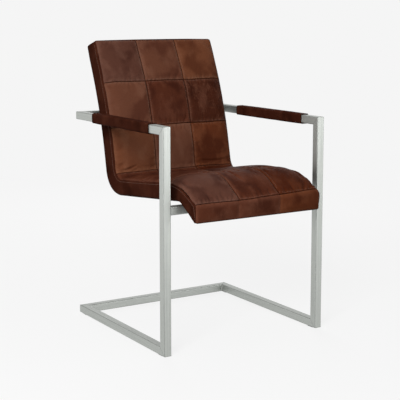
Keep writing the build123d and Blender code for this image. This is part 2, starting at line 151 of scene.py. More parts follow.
class SideLine:
    """A line of the side view: straight runs joined by tangent arcs."""

    ARC_STEP = 0.0015
    LEAST_ARC_STEPS = 8

    def __init__(self, corners: Sequence[Array], radii: Sequence[float]) -> None:
        """Rounds the corners of a line, which ends in the middle of its last arc.

        Args:
            corners: Points (y, z) of the line before rounding.
            radii: Radius at each corner between the first and the last point.
        """
        first = unit(corners[1] - corners[0])
        self.travel = [0.0]
        self.points = [np.array(corners[0])]
        self.heading = [math.atan2(first[1], first[0])]
        self.ends = [0.0]
        self.bends: list[float] = []
        for before, corner, after, radius in zip(corners, corners[1:], corners[2:], radii):
            self._round(unit(corner - before), corner, unit(after - corner), radius)
        self.length = self.bends[-1]

    def _run_to(self, point: Array) -> None:
        """Adds a straight run.

        Args:
            point: Where the run ends.
        """
        self.travel.append(self.travel[-1] + float(np.linalg.norm(point - self.points[-1])))
        self.points.append(np.array(point))
        self.heading.append(self.heading[-1])
        self.ends.append(self.travel[-1])

    def _round(self, arriving: Array, corner: Array, leaving: Array, radius: float) -> None:
        """Adds the run to a corner and the arc round it.

        Args:
            arriving: Direction before the corner.
            corner: The corner itself.
            leaving: Direction after the corner.
            radius: Radius of the arc.
        """
        cross = arriving[0] * leaving[1] - arriving[1] * leaving[0]
        turn = math.atan2(cross, float(arriving @ leaving))
        self._run_to(corner - arriving * (radius * math.tan(abs(turn) / 2)))
        start, heading, travel = self.points[-1], self.heading[-1], self.travel[-1]
        inward = np.array([-arriving[1], arriving[0]]) * math.copysign(radius, turn)
        steps = max(self.LEAST_ARC_STEPS, math.ceil(radius * abs(turn) / self.ARC_STEP))
        for step in range(1, steps + 1):
            angle = turn * step / steps
            spoke = -inward
            turned = np.array([
                spoke[0] * math.cos(angle) - spoke[1] * math.sin(angle),
                spoke[0] * math.sin(angle) + spoke[1] * math.cos(angle),
            ])
            self.points.append(start + inward + turned)
            self.heading.append(heading + angle)
            self.travel.append(travel + radius * abs(angle))
        self.ends.append(self.travel[-1])
        self.bends.append(travel + radius * abs(turn) / 2)

    def at(self, travel: Array) -> tuple[Array, Array]:
        """Reads the line at distances along it.

        Args:
            travel: Distances from the line's start.

        Returns:
            Points (y, z), and directions square to the line on the sitter's side.
        """
        points = np.array(self.points)
        heading = np.interp(travel, self.travel, self.heading)
        along = np.stack([np.cos(heading), np.sin(heading)], axis=-1)
        place = np.stack([np.interp(travel, self.travel, points[:, k]) for k in (0, 1)], axis=-1)
        return place, facing(along)


@dataclass(frozen=True)
class ShellShape:
    """Sizes of the padded shell in metres and degrees, and the lines of the side view that they give.

    They are the solid model's, apart from the rounded lip and nose and the leather's taller front edge.
    """

    forward: float
    half_width: float = 0.224
    fold_depth: float = 0.418
    fold_height: float = 0.468
    fold_radius: float = 0.038
    lower_back_run: float = 0.228
    lower_recline: float = 11.5
    lumbar_radius: float = 1.3
    upper_back_run: float = 0.236
    upper_recline: float = 23.5
    seat_run: float = 0.387
    seat_slope: float = 5.5
    crest_radius: float = 0.180
    apron_slope: float = 25.0
    lip_overhang: float = 0.068
    lip_radius: float = 0.016
    back_thickness: float = 0.067
    seat_thickness: float = 0.054
    front_height: float = 0.0615
    nose_radius: float = 0.0050
    apron_under_slope: float = 31.5
    arch_radius: float = 0.052
    outer_fold_radius: float = 0.086
    top_rear_rise: float = 0.008
    crease_lift: float = 0.008

    def corners(self) -> list[Array]:
        """Finds the corners of the front line.

        Returns:
            Top, lumbar, fold, crest, lip and bottom of the front edge.
        """
        fold = np.array([self.fold_depth - self.forward, self.fold_height])
        lumbar = fold + leaning(self.lower_recline) * self.lower_back_run
        top = lumbar + leaning(self.upper_recline) * self.upper_back_run
        crest = fold + rising(self.seat_slope) * self.seat_run
        apron = (crest[0] + self.lip_overhang + self.forward) / math.cos(math.radians(self.apron_slope))
        lip = crest + rising(-self.apron_slope) * apron
        return [top, lumbar, fold, crest, lip, lip - np.array([0.0, self.front_height])]

    def rear_corners(self) -> list[Array]:
        """Finds the corners of the rear line.

        Returns:
            Rear top, lumbar, fold and arch.
        """
        top, lumbar, fold, crest, _, bottom = self.corners()
        upper, lower, seat = unit(lumbar - top), unit(fold - lumbar), unit(crest - fold)
        rear_top = top - facing(upper) * self.back_thickness
        rear_lower = fold - facing(lower) * self.back_thickness
        under = fold - facing(seat) * self.seat_thickness
        rear_lumbar = crossing(rear_top, upper, rear_lower, lower)
        rear_fold = crossing(rear_lower, lower, under, seat)
        arch = crossing(under, seat, bottom, rising(-self.apron_under_slope))
        return [rear_top + leaning(self.upper_recline) * self.top_rear_rise, rear_lumbar, rear_fold, arch]

    def front_line(self) -> SideLine:
        """Line that the sitter sees, from the top edge to the middle of the rounded nose."""
        radii = [self.lumbar_radius, self.fold_radius, self.crest_radius, self.lip_radius, self.nose_radius]
        return SideLine([*self.corners(), self.rear_corners()[-1]], radii)

    def rear_line(self) -> SideLine:
        """Draws the line of the cover behind and below.

        Returns:
            The line from the rear top edge to the middle of the rounded nose.
        """
        lip, bottom = self.corners()[-2:]
        lumbar = self.lumbar_radius - self.back_thickness
        radii = [lumbar, self.outer_fold_radius, self.arch_radius, self.nose_radius]
        return SideLine([*self.rear_corners(), bottom, lip], radii)


# Leather sheets


class Seam(Enum):
    """How a sheet's edge meets its neighbour."""

    FLAT = "side by side"
    CORNER = "round an edge"
    TIGHT = "drawn close, hardly showing"


@dataclass(frozen=True)
class SeamFold:
    """Cross section of a sheet's edge where it turns down into a seam."""

    radius: float
    swing: float
    gap: float = 0.00022
    sink: float = 0.0025
    steps: int = 6
    hidden: float = 0.0
    slant: float = 0.7

    def lines(self, kind: Seam) -> list[tuple[float, float]]:
        """Lists the grid lines of the edge, from its sunk end to where the sheet is flat.

        Args:
            kind: How the edge meets its neighbour.

        Returns:
            Distance from the seam and depth below the surface, for each line.
        """
        swing = math.radians(self.swing)
        start = self.gap + self.radius * math.sin(swing)
        lean = 0.0
        if kind is Seam.CORNER:
            start += self.radius * (1 - math.cos(swing))
            lean = self.slant * self.sink
        arc = []
        for step in range(self.steps):
            angle = swing * (1 - step / (self.steps - 1))
            arc.append((start - self.radius * math.sin(angle), self.radius * (1 - math.cos(angle))))
        return [(arc[0][0] + lean, arc[0][1] + self.sink), *arc]


SEAM_FOLDS = {
    Seam.FLAT: SeamFold(0.0019, 76.0),
    Seam.CORNER: SeamFold(0.0080, 54.0, sink=0.0150, steps=8),
    Seam.TIGHT: SeamFold(0.0008, 55.0, gap=0.00005, sink=0.0015, hidden=0.0022),
}


@dataclass
class GridLines:
    """Places of a sheet's grid lines in one direction, with their depth in a seam."""

    low: float
    high: float
    low_seam: Seam
    high_seam: Seam
    step: float
    fade_reach: float = 0.018
    fade_power: float = 1.5
    at: Array = field(init=False)
    drop: Array = field(init=False)
    edge: int = field(init=False)

    def __post_init__(self) -> None:
        """Spaces the lines: the two turned edges, and even steps between them."""
        low_edge = SEAM_FOLDS[self.low_seam].lines(self.low_seam)
        high_edge = SEAM_FOLDS[self.high_seam].lines(self.high_seam)[::-1]
        start = self.low + low_edge[-1][0]
        end = self.high - high_edge[0][0]
        count = max(2, round((end - start) / self.step))
        inner = np.linspace(start, end, count + 1)[1:-1]
        first = [self.low + away for away, _ in low_edge]
        last = [self.high - away for away, _ in high_edge]
        self.at = np.array([*first, *inner, *last])
        flat = [0.0] * len(inner)
        self.drop = np.array([*(drop for _, drop in low_edge), *flat, *(drop for _, drop in high_edge)])
        self.edge = max(len(low_edge), len(high_edge))

    def near(self) -> Array:
        """Measures how far each line is from the nearer seam.

        Returns:
            The distances. The sunk ends count as the seam itself, and a hidden seam as farther away.
        """
        low = self.at - self.low + SEAM_FOLDS[self.low_seam].hidden
        high = self.high - self.at + SEAM_FOLDS[self.high_seam].hidden
        apart = np.maximum(np.minimum(low, high), 0.0)
        apart[[0, -1]] = [SEAM_FOLDS[seam].hidden for seam in (self.low_seam, self.high_seam)]
        return apart

    def fade(self) -> Array:
        """Share of a sheet's unevenness that is left at each line, none at the seams."""
        nearer = np.minimum(self.at - self.low, self.high - self.at)
        return np.clip(nearer / self.fade_reach, 0.0, 1.0) ** self.fade_power

    def share(self) -> Array:
        """Place of each line between the two seams, from 0 to 1."""
        return np.clip((self.at - self.low) / (self.high - self.low), 0.0, 1.0)


def pillow_profile(share: Array) -> Array:
    """Height of a pillow between two seams, from 0 at both to 1 in the middle."""
    return 1 - np.abs(2 * share - 1) ** PILLOW_POWER


def select_only(piece: bpy.types.Object) -> None:
    """Makes one object the only selected one and the active one.

    Args:
        piece: The object.
    """
    bpy.ops.object.select_all(action="DESELECT")
    piece.select_set(True)
    bpy.context.view_layer.objects.active = piece


def laid_grid(name: str, points: Array, outward: Vector) -> tuple[bpy.types.Object, Array, Array]:
    """Adds a grid and moves each of its points into place.

    Args:
        name: Name of the new piece.
        points: Places of the grid's points, by row and column.
        outward: Rough direction that the sheet's outer side faces at its middle.

    Returns:
        The piece, and the row and the column of each of its points.
    """
    rows, columns = points.shape[0] - 1, points.shape[1] - 1
    middle = points[rows // 2, columns // 2]
    across = points[rows // 2, columns // 2 + 1] - middle
    along = points[rows // 2 + 1, columns // 2] - middle
    mirrored = float(np.cross(across, along) @ np.array(outward)) < 0
    bpy.ops.object.select_all(action="DESELECT")
    bpy.ops.mesh.primitive_grid_add(x_subdivisions=columns, y_subdivisions=rows, size=2.0)
    piece = bpy.context.object
    piece.name = name
    piece.data.name = name
    flat = np.empty(len(piece.data.vertices) * 3)
    piece.data.vertices.foreach_get("co", flat)
    flat = flat.reshape(-1, 3)
    column = np.rint((flat[:, 0] + 1) / 2 * columns).astype(int)
    row = np.rint((flat[:, 1] + 1) / 2 * rows).astype(int)
    if mirrored:
        column = columns - column
    piece.data.vertices.foreach_set("co", points[row, column].ravel())
    piece.data.update()
    return piece, row, column


def mend_mesh(piece: bpy.types.Object, merge: bool, outward: bool) -> None:
    """Cleans up a mesh in edit mode.

    Args:
        piece: The piece.
        merge: True to join points that lie on each other.
        outward: True to turn all faces outward.
    """
    select_only(piece)
    bpy.ops.object.mode_set(mode="EDIT")
    bpy.ops.mesh.select_all(action="SELECT")
    if merge:
        bpy.ops.mesh.remove_doubles(threshold=MERGE_DISTANCE)
    if outward:
        bpy.ops.mesh.normals_make_consistent(inside=False)
    bpy.ops.object.mode_set(mode="OBJECT")


def finish_sheet(piece: bpy.types.Object, thickness: float) -> None:
    """Gives a leather sheet its thickness and smooth shading.

    Args:
        piece: The sheet.
        thickness: Thickness of the leather.
    """
    select_only(piece)
    solid = piece.modifiers.new("Leather", "SOLIDIFY")
    solid.thickness = thickness
    solid.offset = -1.0
    bpy.ops.object.modifier_apply(modifier=solid.name)
    mend_mesh(piece, merge=True, outward=False)
    bpy.ops.object.shade_smooth()


def mark_seams(piece: bpy.types.Object, distance: Array) -> None:
    """Stores how far each point of a piece is from its seams.

    Args:
        piece: The piece.
        distance: Distance of each point in millimetres.
    """
    attribute = piece.data.attributes.new(SEAM_ATTRIBUTE, "FLOAT", "POINT")
    attribute.data.foreach_set("value", distance.astype(np.float32))


@dataclass
class LeatherSheet:
    """A sewn leather sheet over padding, laid on grid lines, with its edges turned into the seams."""

    name: str
    across: GridLines
    along: GridLines
    place: Place
    swell: Callable[[GridLines, GridLines], Array]
    outward: Vector
    thickness: float = 0.0012
    corner_drop: float = 0.55
    points: Array = field(init=False)

    def build(self) -> bpy.types.Object:
        """Makes the sheet's mesh, with the distance from its seams as an attribute.

        Returns:
            The sheet.
        """
        u, v = np.meshgrid(self.across.at, self.along.at)
        drop_u, drop_v = np.meshgrid(self.across.drop, self.along.drop)
        drop = np.maximum(drop_u, drop_v) + self.corner_drop * np.minimum(drop_u, drop_v)
        self.points = self.place(u, v, self.swell(self.across, self.along) - drop)
        piece, row, column = laid_grid(self.name, self.points, self.outward)
        near = np.minimum(*np.meshgrid(self.across.near(), self.along.near()))
        mark_seams(piece, near[row, column] / MM)
        finish_sheet(piece, self.thickness)
        return piece

    def row_points(self, axis: int, offset: float, from_high: bool) -> tuple[Array, Array]:
        """Follows the surface beside a seam.

        Args:
            axis: 0 for a line along the sheet, 1 for one across it.
            offset: Distance of the line from the seam.
            from_high: True for the seam at the high end.

        Returns:
            Points of the line, and for each the step towards the next grid line.
        """
        lines = self.across if axis == 0 else self.along
        other = self.along if axis == 0 else self.across
        points = self.points if axis == 0 else self.points.swapaxes(0, 1)
        wanted = lines.high - offset if from_high else lines.low + offset
        inner = np.arange(lines.edge - 1, len(lines.at) - lines.edge + 1)
        index = int(inner[np.clip(np.searchsorted(lines.at[inner], wanted) - 1, 0, len(inner) - 2)])
        share = (wanted - lines.at[index]) / (lines.at[index + 1] - lines.at[index])
        span = slice(other.edge, len(other.at) - other.edge)
        first, second = points[span, index], points[span, index + 1]
        return first + (second - first) * share, second - first


def unevenness(points: Array, scale: float, seed: float) -> Array:
    """Slow random swell of a surface.

    Args:
        points: Places in space, in the last axis.
        scale: Swells in a metre.
        seed: Moves the pattern.

    Returns:
        A value from about -1 to 1 at each place.
    """
    flat = points.reshape(-1, 3) * scale
    shift = Vector([seed * step for step in NOISE_STEPS])
    values = [noise.noise(Vector(point) + shift) for point in flat]
    return np.array(values).reshape(points.shape[:-1])


@dataclass(frozen=True)
class SlowSwell:
    """Slow random swell of a sheet that fades towards its seams."""

    height: float
    scale: float
    seed: float

    def on(self, across: GridLines, along: GridLines, spots: Array) -> Array:
        """Finds the swell of a sheet.

        Args:
            across: Its grid lines across.
            along: Its grid lines along.
            spots: Places of the grid's points in space.

        Returns:
            The height at each point, by row and column.
        """
        calm = np.outer(along.fade(), across.fade())
        return self.height * calm * unevenness(spots, self.scale, self.seed)


def flat_spots(place: Place, across: GridLines, along: GridLines) -> Array:
    """Places of a sheet's grid points before it swells."""
    x, travel = np.meshgrid(across.at, along.at)
    return place(x, travel, np.zeros_like(x))


@dataclass(frozen=True)
class Crease:
    """A pressed line in the leather, from one place to another, across the chair and along the cover.

    Distances are in millimetres. The second of each pair counts from the fold, towards the seat.
    """

    start: tuple[float, float]
    end: tuple[float, float]
    width: float
    depth: float
    bow: float = 0.05
    end_fade: float = 0.08
    lip: float = 0.55
    lip_place: float = 2.0
    lip_width: float = 0.9

    def press(self, x: Array, travel: Array) -> Array:
        """Presses the crease and raises its lips.

        Args:
            x: Distances across in metres.
            travel: Distances from the fold in metres.

        Returns:
            Height at each place in metres, below 0 in the crease and above 0 on its lips.
        """
        begin, end = np.array(self.start) * MM, np.array(self.end) * MM
        run = end - begin
        length = np.linalg.norm(run)
        along = ((x - begin[0]) * run[0] + (travel - begin[1]) * run[1]) / (run @ run)
        held = np.clip(along, 0.0, 1.0)
        away = (x - begin[0]) * -run[1] + (travel - begin[1]) * run[0]
        away = away / length - self.bow * np.sin(np.pi * held) * length
        beyond = (along - held) * length
        reach = np.hypot(away, 2 * beyond) / (self.width * MM)
        fade = np.sqrt(np.sin(np.pi * np.clip(held, self.end_fade, 1 - self.end_fade)))
        lips = self.lip * np.exp(-((reach - self.lip_place) / self.lip_width) ** 2)
        return self.depth * MM * fade * (lips - np.exp(-reach ** 2))


CREASES = (
    Crease((-221, -6), (-150, -22), 3.4, 2.6),
    Crease((-219, -24), (-186, -36), 3.4, 0.9),
    Crease((-216, 10), (-128, 16), 4.6, 1.7),
    Crease((-196, 33), (-156, 22), 3.4, 1.0),
    Crease((92, -21), (220, -25), 3.6, 2.2),
    Crease((84, -9), (138, -12), 2.8, 1.2),
    Crease((128, -40), (214, -46), 4.4, 0.8),
    Crease((86, 11), (217, 14), 4.2, 1.6),
    Crease((104, 28), (200, 34), 4.6, 0.9),
    Crease((-58, 14), (40, 17), 4.8, 1.0),
    Crease((-60, -12), (-10, -16), 3.4, 0.8),
    Crease((-219, -139), (-168, -134), 2.8, 0.9),
    Crease((-216, -131), (-183, -126), 2.6, 0.7),
)


# Shader nodes


class Graph:
    """Adds and joins the nodes of one shader tree."""

    def __init__(self, tree: bpy.types.NodeTree) -> None:
        """Starts on a tree."""
        self.tree = tree

    def node(self, kind: str, values: dict | None = None, **settings: object) -> bpy.types.Node:
        """Adds a node.

        Args:
            kind: Type of the node.
            values: Its inputs by name or number: sockets to join, or plain values.
            settings: Other properties of the node.

        Returns:
            The new node.
        """
        made = self.tree.nodes.new(kind)
        for name, setting in settings.items():
            setattr(made, name, setting)
        for key, value in (values or {}).items():
            if isinstance(value, bpy.types.NodeSocket):
                self.join(value, made.inputs[key])
            else:
                made.inputs[key].default_value = value
        return made

    def join(self, value: bpy.types.NodeSocket, target: bpy.types.NodeSocket) -> None:
        """Joins an output to an input."""
        self.tree.links.new(value, target)

    def math(self, operation: str, first: object, second: object = 0.0) -> bpy.types.NodeSocket:
        """Puts one or two values through an operation."""
        return self.node("ShaderNodeMath", {0: first, 1: second}, operation=operation).outputs[0]

    def vector(self, operation: str, values: dict) -> bpy.types.NodeSocket:
        """Puts vectors through an operation that gives a vector."""
        return self.node("ShaderNodeVectorMath", values, operation=operation).outputs[0]

    def mix(self, factor: object, first: object, second: object) -> bpy.types.NodeSocket:
        """Blends two colours."""
        values = {0: factor, 6: first, 7: second}
        return self.node("ShaderNodeMix", values, data_type="RGBA").outputs[2]

    def fit(self, value: object, source: Range, target: Range) -> bpy.types.NodeSocket:
        """Maps a value from one range to another, with soft ends."""
        values = {0: value, 1: source[0], 2: source[1], 3: target[0], 4: target[1]}
        return self.node("ShaderNodeMapRange", values, interpolation_type="SMOOTHSTEP").outputs[0]

    def noise(self, vector: object, scale: float, detail: float = 3.0,
              rough: float = 0.5) -> bpy.types.NodeSocket:
        """Soft random values from 0 to 1."""
        values = {"Vector": vector, "Scale": scale, "Detail": detail, "Roughness": rough}
        return self.node("ShaderNodeTexNoise", values).outputs[0]

    def stretch(self, vector: object, scale: Triple) -> bpy.types.NodeSocket:
        """Scales a pattern's coordinates."""
        return self.node("ShaderNodeMapping", {"Vector": vector, "Scale": scale}).outputs[0]


def rgba(colour: Colour) -> tuple[float, float, float, float]:
    """Colour with full cover."""
    return (*colour, 1.0)


class Socket(Enum):
    """Kinds of node sockets."""

    VECTOR = "NodeSocketVector"
    VALUE = "NodeSocketFloat"
    COLOUR = "NodeSocketColor"


class Effect(Enum):
    """Effects that several materials share."""

    LEATHER_GRAIN = "Leather Grain"
    HIDE_TONE = "Hide Tone"
    SEAM_WEAR = "Seam Wear"
    BRUSHED_LINES = "Brushed Lines"
    TUBE_EDGES = "Tube Edges"
    MITRE_LINES = "Mitre Lines"


class NodeGroups:
    """The shared effects as node groups, each built once."""

    _made: dict[Effect, bpy.types.NodeTree] = {}

    @classmethod
    def place(cls, graph: Graph, effect: Effect, values: dict) -> bpy.types.Node:
        """Puts an effect into a material with its own values.

        Args:
            graph: Graph of the material.
            effect: The effect.
            values: Sockets or plain values for its inputs, by name.

        Returns:
            The node of the effect.
        """
        builders = {
            Effect.LEATHER_GRAIN: cls._leather_grain,
            Effect.HIDE_TONE: cls._hide_tone,
            Effect.SEAM_WEAR: cls._seam_wear,
            Effect.BRUSHED_LINES: cls._brushed_lines,
            Effect.TUBE_EDGES: cls._tube_edges,
            Effect.MITRE_LINES: cls._mitre_lines,
        }
        if effect not in cls._made:
            builders[effect]()
        return graph.node("ShaderNodeGroup", values, node_tree=cls._made[effect])

    @classmethod
    def _start(cls, effect: Effect, inputs: dict[str, Socket],
               outputs: dict[str, Socket]) -> tuple[Graph, dict, dict]:
        """Opens a new group.

        Args:
            effect: The effect that the group makes.
            inputs: Kind of socket for each input.
            outputs: Kind of socket for each output.

        Returns:
            The graph, the group's input values by name and its output sockets by name.
        """
        tree = bpy.data.node_groups.new(effect.value, "ShaderNodeTree")
        for label, kind in inputs.items():
            tree.interface.new_socket(name=label, in_out="INPUT", socket_type=kind.value)
        for label, kind in outputs.items():
            tree.interface.new_socket(name=label, in_out="OUTPUT", socket_type=kind.value)
        entry = tree.nodes.new("NodeGroupInput")
        leave = tree.nodes.new("NodeGroupOutput")
        cls._made[effect] = tree
        given = {label: entry.outputs[label] for label in inputs}
        return Graph(tree), given, {label: leave.inputs[label] for label in outputs}

    @classmethod
    def _leather_grain(cls) -> None:
        """Pores, fine pebbling and slow pull lines of finished hide."""
        stir_scale, stir_reach = 90.0, 0.004
        pebble_scale, pore_scale, slow_scale = 520.0, 1900.0, 150.0
        pull_scale = (170.0, 60.0, 60.0)
        pebble_share, pore_share, slow_share, vein_share = 0.55, 0.25, 1.6, 0.8
        graph, given, out = cls._start(
            Effect.LEATHER_GRAIN, {"Vector": Socket.VECTOR, "Veins": Socket.VALUE},
            {"Height": Socket.VALUE, "Pebble": Socket.VALUE})
        place = given["Vector"]
        stir = graph.node("ShaderNodeTexNoise", {"Vector": place, "Scale": stir_scale}).outputs[1]
        shift = graph.vector("SCALE", {0: stir, 3: stir_reach})
        stirred = graph.vector("ADD", {0: place, 1: shift})
        cells = {"Vector": stirred, "Scale": pebble_scale}
        cell = graph.node("ShaderNodeTexVoronoi", cells, feature="SMOOTH_F1").outputs[0]
        pebble = graph.fit(cell, (0.05, 0.75), (1.0, 0.0))
        pore = graph.noise(place, pore_scale, detail=2.0)
        pull = graph.noise(graph.stretch(stirred, pull_scale), 1.0, detail=4.0, rough=0.6)
        ridge = graph.math("ABSOLUTE", graph.math("SUBTRACT", pull, 0.5))
        vein = graph.math("MULTIPLY", graph.fit(ridge, (0.0, 0.06), (1.0, 0.0)), given["Veins"])
        slow = graph.noise(place, slow_scale, detail=3.0, rough=0.55)
        height = graph.math("MULTIPLY", pebble, pebble_share)
        height = graph.math("ADD", height, graph.math("MULTIPLY", pore, pore_share))
        height = graph.math("ADD", height, graph.math("MULTIPLY", slow, slow_share))
        height = graph.math("SUBTRACT", height, graph.math("MULTIPLY", vein, vein_share))
        graph.join(height, out["Height"])
        graph.join(pebble, out["Pebble"])

    @classmethod
    def _hide_tone(cls) -> None:
        """Cloudy colour of a waxed hide: base, deeper and paler areas, specks and pale pull lines."""
        cloud_scale, speck_scale = 12.0, 240.0
        patch_scale, streak_scale = (24.0, 19.0, 16.0), (130.0, 42.0, 42.0)
        colours = {label: Socket.COLOUR for label in ("Base", "Deep", "Worn")}
        graph, given, out = cls._start(
            Effect.HIDE_TONE, {"Vector": Socket.VECTOR, **colours, "Veins": Socket.VALUE},
            {"Colour": Socket.COLOUR, "Cloud": Socket.VALUE})
        place = given["Vector"]
        cloud = graph.noise(place, cloud_scale, detail=2.5, rough=0.45)
        patch = graph.noise(graph.stretch(place, patch_scale), 1.0, detail=2.5, rough=0.45)
        speck = graph.noise(place, speck_scale, detail=3.0, rough=0.6)
        shade = graph.mix(graph.fit(cloud, (0.45, 0.64), (0.0, 0.8)), given["Base"], given["Deep"])
        pale = graph.mix(graph.fit(patch, (0.48, 0.72), (0.0, 0.55)), shade, given["Worn"])
        spotted = graph.mix(graph.fit(speck, (0.58, 0.75), (0.0, 0.35)), pale, given["Deep"])
        streak = graph.noise(graph.stretch(place, streak_scale), 1.0, detail=3.0, rough=0.55)
        ridge = graph.math("ABSOLUTE", graph.math("SUBTRACT", streak, 0.5))
        line = graph.fit(ridge, (0.0, 0.045), (0.9, 0.0))
        line = graph.math("MULTIPLY", line, graph.fit(patch, (0.42, 0.58), (0.15, 1.0)))
        veined = graph.mix(graph.math("MULTIPLY", line, given["Veins"]), spotted, given["Worn"])
        graph.join(veined, out["Colour"])
        graph.join(cloud, out["Cloud"])

    @classmethod
    def _seam_wear(cls) -> None:
        """Painted shade in the seam grooves, and paler, rubbed leather on the shoulders beside them, by
        distance in mm.
        """
        rag_scale, rub_rag, groove_rag = 70.0, 4.0, 1.2
        graph, given, out = cls._start(
            Effect.SEAM_WEAR, {"Vector": Socket.VECTOR, "Distance": Socket.VALUE},
            {"Groove Shade": Socket.VALUE, "Rub": Socket.VALUE})
        distance = given["Distance"]
        rag = graph.noise(given["Vector"], rag_scale, detail=4.0, rough=0.6)
        farther = graph.math("ADD", distance, graph.math("MULTIPLY", rag, rub_rag))
        nearer = graph.math("SUBTRACT", distance, graph.math("MULTIPLY", rag, groove_rag))
        rub = graph.fit(farther, (4.0, 19.0), (1.0, 0.0))
        # Painted shade where the leather turns down into a seam.
        graph.join(graph.fit(nearer, (-0.2, 1.3), (1.0, 0.0)), out["Groove Shade"])
        graph.join(graph.math("MULTIPLY", rub, graph.fit(rag, (0.3, 0.7), (0.3, 1.0))), out["Rub"])

    @classmethod
    def _brushed_lines(cls) -> None:
        """Fine drawn lines of brushed metal, along whichever axis the coordinates are stretched."""
        graph, given, out = cls._start(
            Effect.BRUSHED_LINES, {"Vector": Socket.VECTOR}, {"Line": Socket.VALUE})
        graph.join(graph.noise(given["Vector"], 1.0, detail=5.0, rough=0.7), out["Line"])

    @classmethod
    def _tube_edges(cls) -> None:
        """Mask of the painted dark reflection along the rounded long edges of a square tube, from its
        middle line and its half width.
        """
        vectors = {label: Socket.VECTOR for label in ("Vector", "Middle", "Axis")}
        graph, given, out = cls._start(
            Effect.TUBE_EDGES, {**vectors, "Half": Socket.VALUE}, {"Mask": Socket.VALUE})
        apart = graph.vector("SUBTRACT", {0: given["Vector"], 1: given["Middle"]})
        away = graph.vector("ABSOLUTE", {0: apart})
        square = graph.vector("ADD", {0: away, 1: given["Axis"]})
        axes = graph.node("ShaderNodeSeparateXYZ", {0: square}).outputs
        least = graph.math("MINIMUM", graph.math("MINIMUM", axes[0], axes[1]), axes[2])
        inside = graph.math("SUBTRACT", given["Half"], least)
        graph.join(graph.fit(inside, (0.0004, 0.0022), (1.0, 0.0)), out["Mask"])

    @classmethod
    def _mitre_lines(cls) -> None:
        """Ground weld lines where mitred tubes meet, from the places of the mitre planes."""
        planes = ("Front", "Foot", "Arm", "Floor Corner", "Arm Corner", "Middle")
        values = {label: Socket.VALUE for label in planes}
        graph, given, out = cls._start(
            Effect.MITRE_LINES, {"Vector": Socket.VECTOR, **values}, {"Mask": Socket.VALUE})
        axes = graph.node("ShaderNodeSeparateXYZ", {0: given["Vector"]}).outputs
        depth = graph.math("SUBTRACT", axes[1], given["Front"])
        width = graph.math("ABSOLUTE", axes[0])
        foot = graph.math("SUBTRACT", depth, graph.math("SUBTRACT", axes[2], given["Foot"]))
        arm = graph.math("ADD", depth, graph.math("SUBTRACT", axes[2], given["Arm"]))
        beside = graph.math("SUBTRACT", width, depth)
        floor_corner = graph.math("SUBTRACT", beside, given["Floor Corner"])
        arm_corner = graph.math("SUBTRACT", beside, given["Arm Corner"])
        high = graph.math("GREATER_THAN", axes[2], given["Middle"])
        corner = graph.node("ShaderNodeMix", {0: high, 2: floor_corner, 3: arm_corner}).outputs[0]
        nearest = graph.math("MINIMUM", graph.math("ABSOLUTE", foot), graph.math("ABSOLUTE", arm))
        nearest = graph.math("MINIMUM", nearest, graph.math("ABSOLUTE", corner))
        graph.join(graph.fit(nearest, (0.0002, 0.0011), (1.0, 0.0)), out["Mask"])


def blank_material(name: str) -> tuple[bpy.types.Material, Graph, bpy.types.Node, bpy.types.NodeSocket]:
    """Starts a material.

    Args:
        name: Name of the material.

    Returns:
        The material, its graph, its surface shader and the object coordinates.
    """
    material = bpy.data.materials.new(name)
    material.use_nodes = True
    graph = Graph(material.node_tree)
    shader = material.node_tree.nodes["Principled BSDF"]
    place = graph.node("ShaderNodeTexCoord").outputs["Object"]
    return material, graph, shader, place


def bump(graph: Graph, shader: bpy.types.Node, height: bpy.types.NodeSocket, strength: float,
         depth: float) -> None:
    """Feeds a height pattern to a shader's normal."""
    values = {"Height": height, "Strength": strength, "Distance": depth}
    graph.join(graph.node("ShaderNodeBump", values).outputs[0], shader.inputs["Normal"])


@dataclass(frozen=True)
class LeatherFinish:
    """One tone of waxed leather."""

    name: str
    slot: str
    base: Colour
    deep: Colour
    worn: Colour
    veins: float = 0.25
    rub: float = 0.7
    roughness: float = 0.42
    specular: float = 0.018
    rough_change: Range = (-0.06, 0.12)
    pit: float = 0.22
    # Share, darkness and roughness of the painted shade in the seam grooves.
    groove_shade: float = 0.9
    groove_shade_tone: float = 0.4
    groove_rough: float = 0.25
    relief: float = 0.5
    relief_depth: float = 0.0007

    def material(self) -> bpy.types.Material:
        """Gives the finish as a material, which is made the first time that it is asked for.

        Returns:
            The material.
        """
        known = bpy.data.materials.get(self.name)
        if known:
            return known
        material, graph, shader, place = blank_material(self.name)
        distance = graph.node("ShaderNodeAttribute", attribute_name=SEAM_ATTRIBUTE).outputs["Fac"]
        tone = NodeGroups.place(graph, Effect.HIDE_TONE, {
            "Vector": place, "Base": rgba(self.base), "Deep": rgba(self.deep), "Worn": rgba(self.worn),
            "Veins": self.veins,
        })
        shade_and_rub = NodeGroups.place(graph, Effect.SEAM_WEAR, {"Vector": place, "Distance": distance})
        grain = NodeGroups.place(graph, Effect.LEATHER_GRAIN, {"Vector": place, "Veins": self.veins})
        groove_shade = shade_and_rub.outputs["Groove Shade"]
        rub = graph.math("MULTIPLY", shade_and_rub.outputs["Rub"], self.rub)
        rubbed = graph.mix(rub, tone.outputs["Colour"], rgba(self.worn))
        pit = graph.fit(grain.outputs["Pebble"], (0.0, 0.5), (self.pit, 0.0))
        pitted = graph.mix(pit, rubbed, rgba(self.deep))
        # Painted shade in the seam grooves: a darker copy of the deep tone.
        red, green, blue = (self.groove_shade_tone * value for value in self.deep)
        colour = graph.mix(graph.math("MULTIPLY", groove_shade, self.groove_shade), pitted, rgba((red, green, blue)))
        smooth, dull = (self.roughness + change for change in self.rough_change)
        rough = graph.fit(tone.outputs["Cloud"], (0.3, 0.7), (smooth, dull))
        rough = graph.math("ADD", rough, graph.math("MULTIPLY", groove_shade, self.groove_rough))
        graph.join(colour, shader.inputs["Base Color"])
        graph.join(rough, shader.inputs["Roughness"])
        shader.inputs["Specular IOR Level"].default_value = self.specular
        bump(graph, shader, grain.outputs["Height"], self.relief, self.relief_depth)
        return material


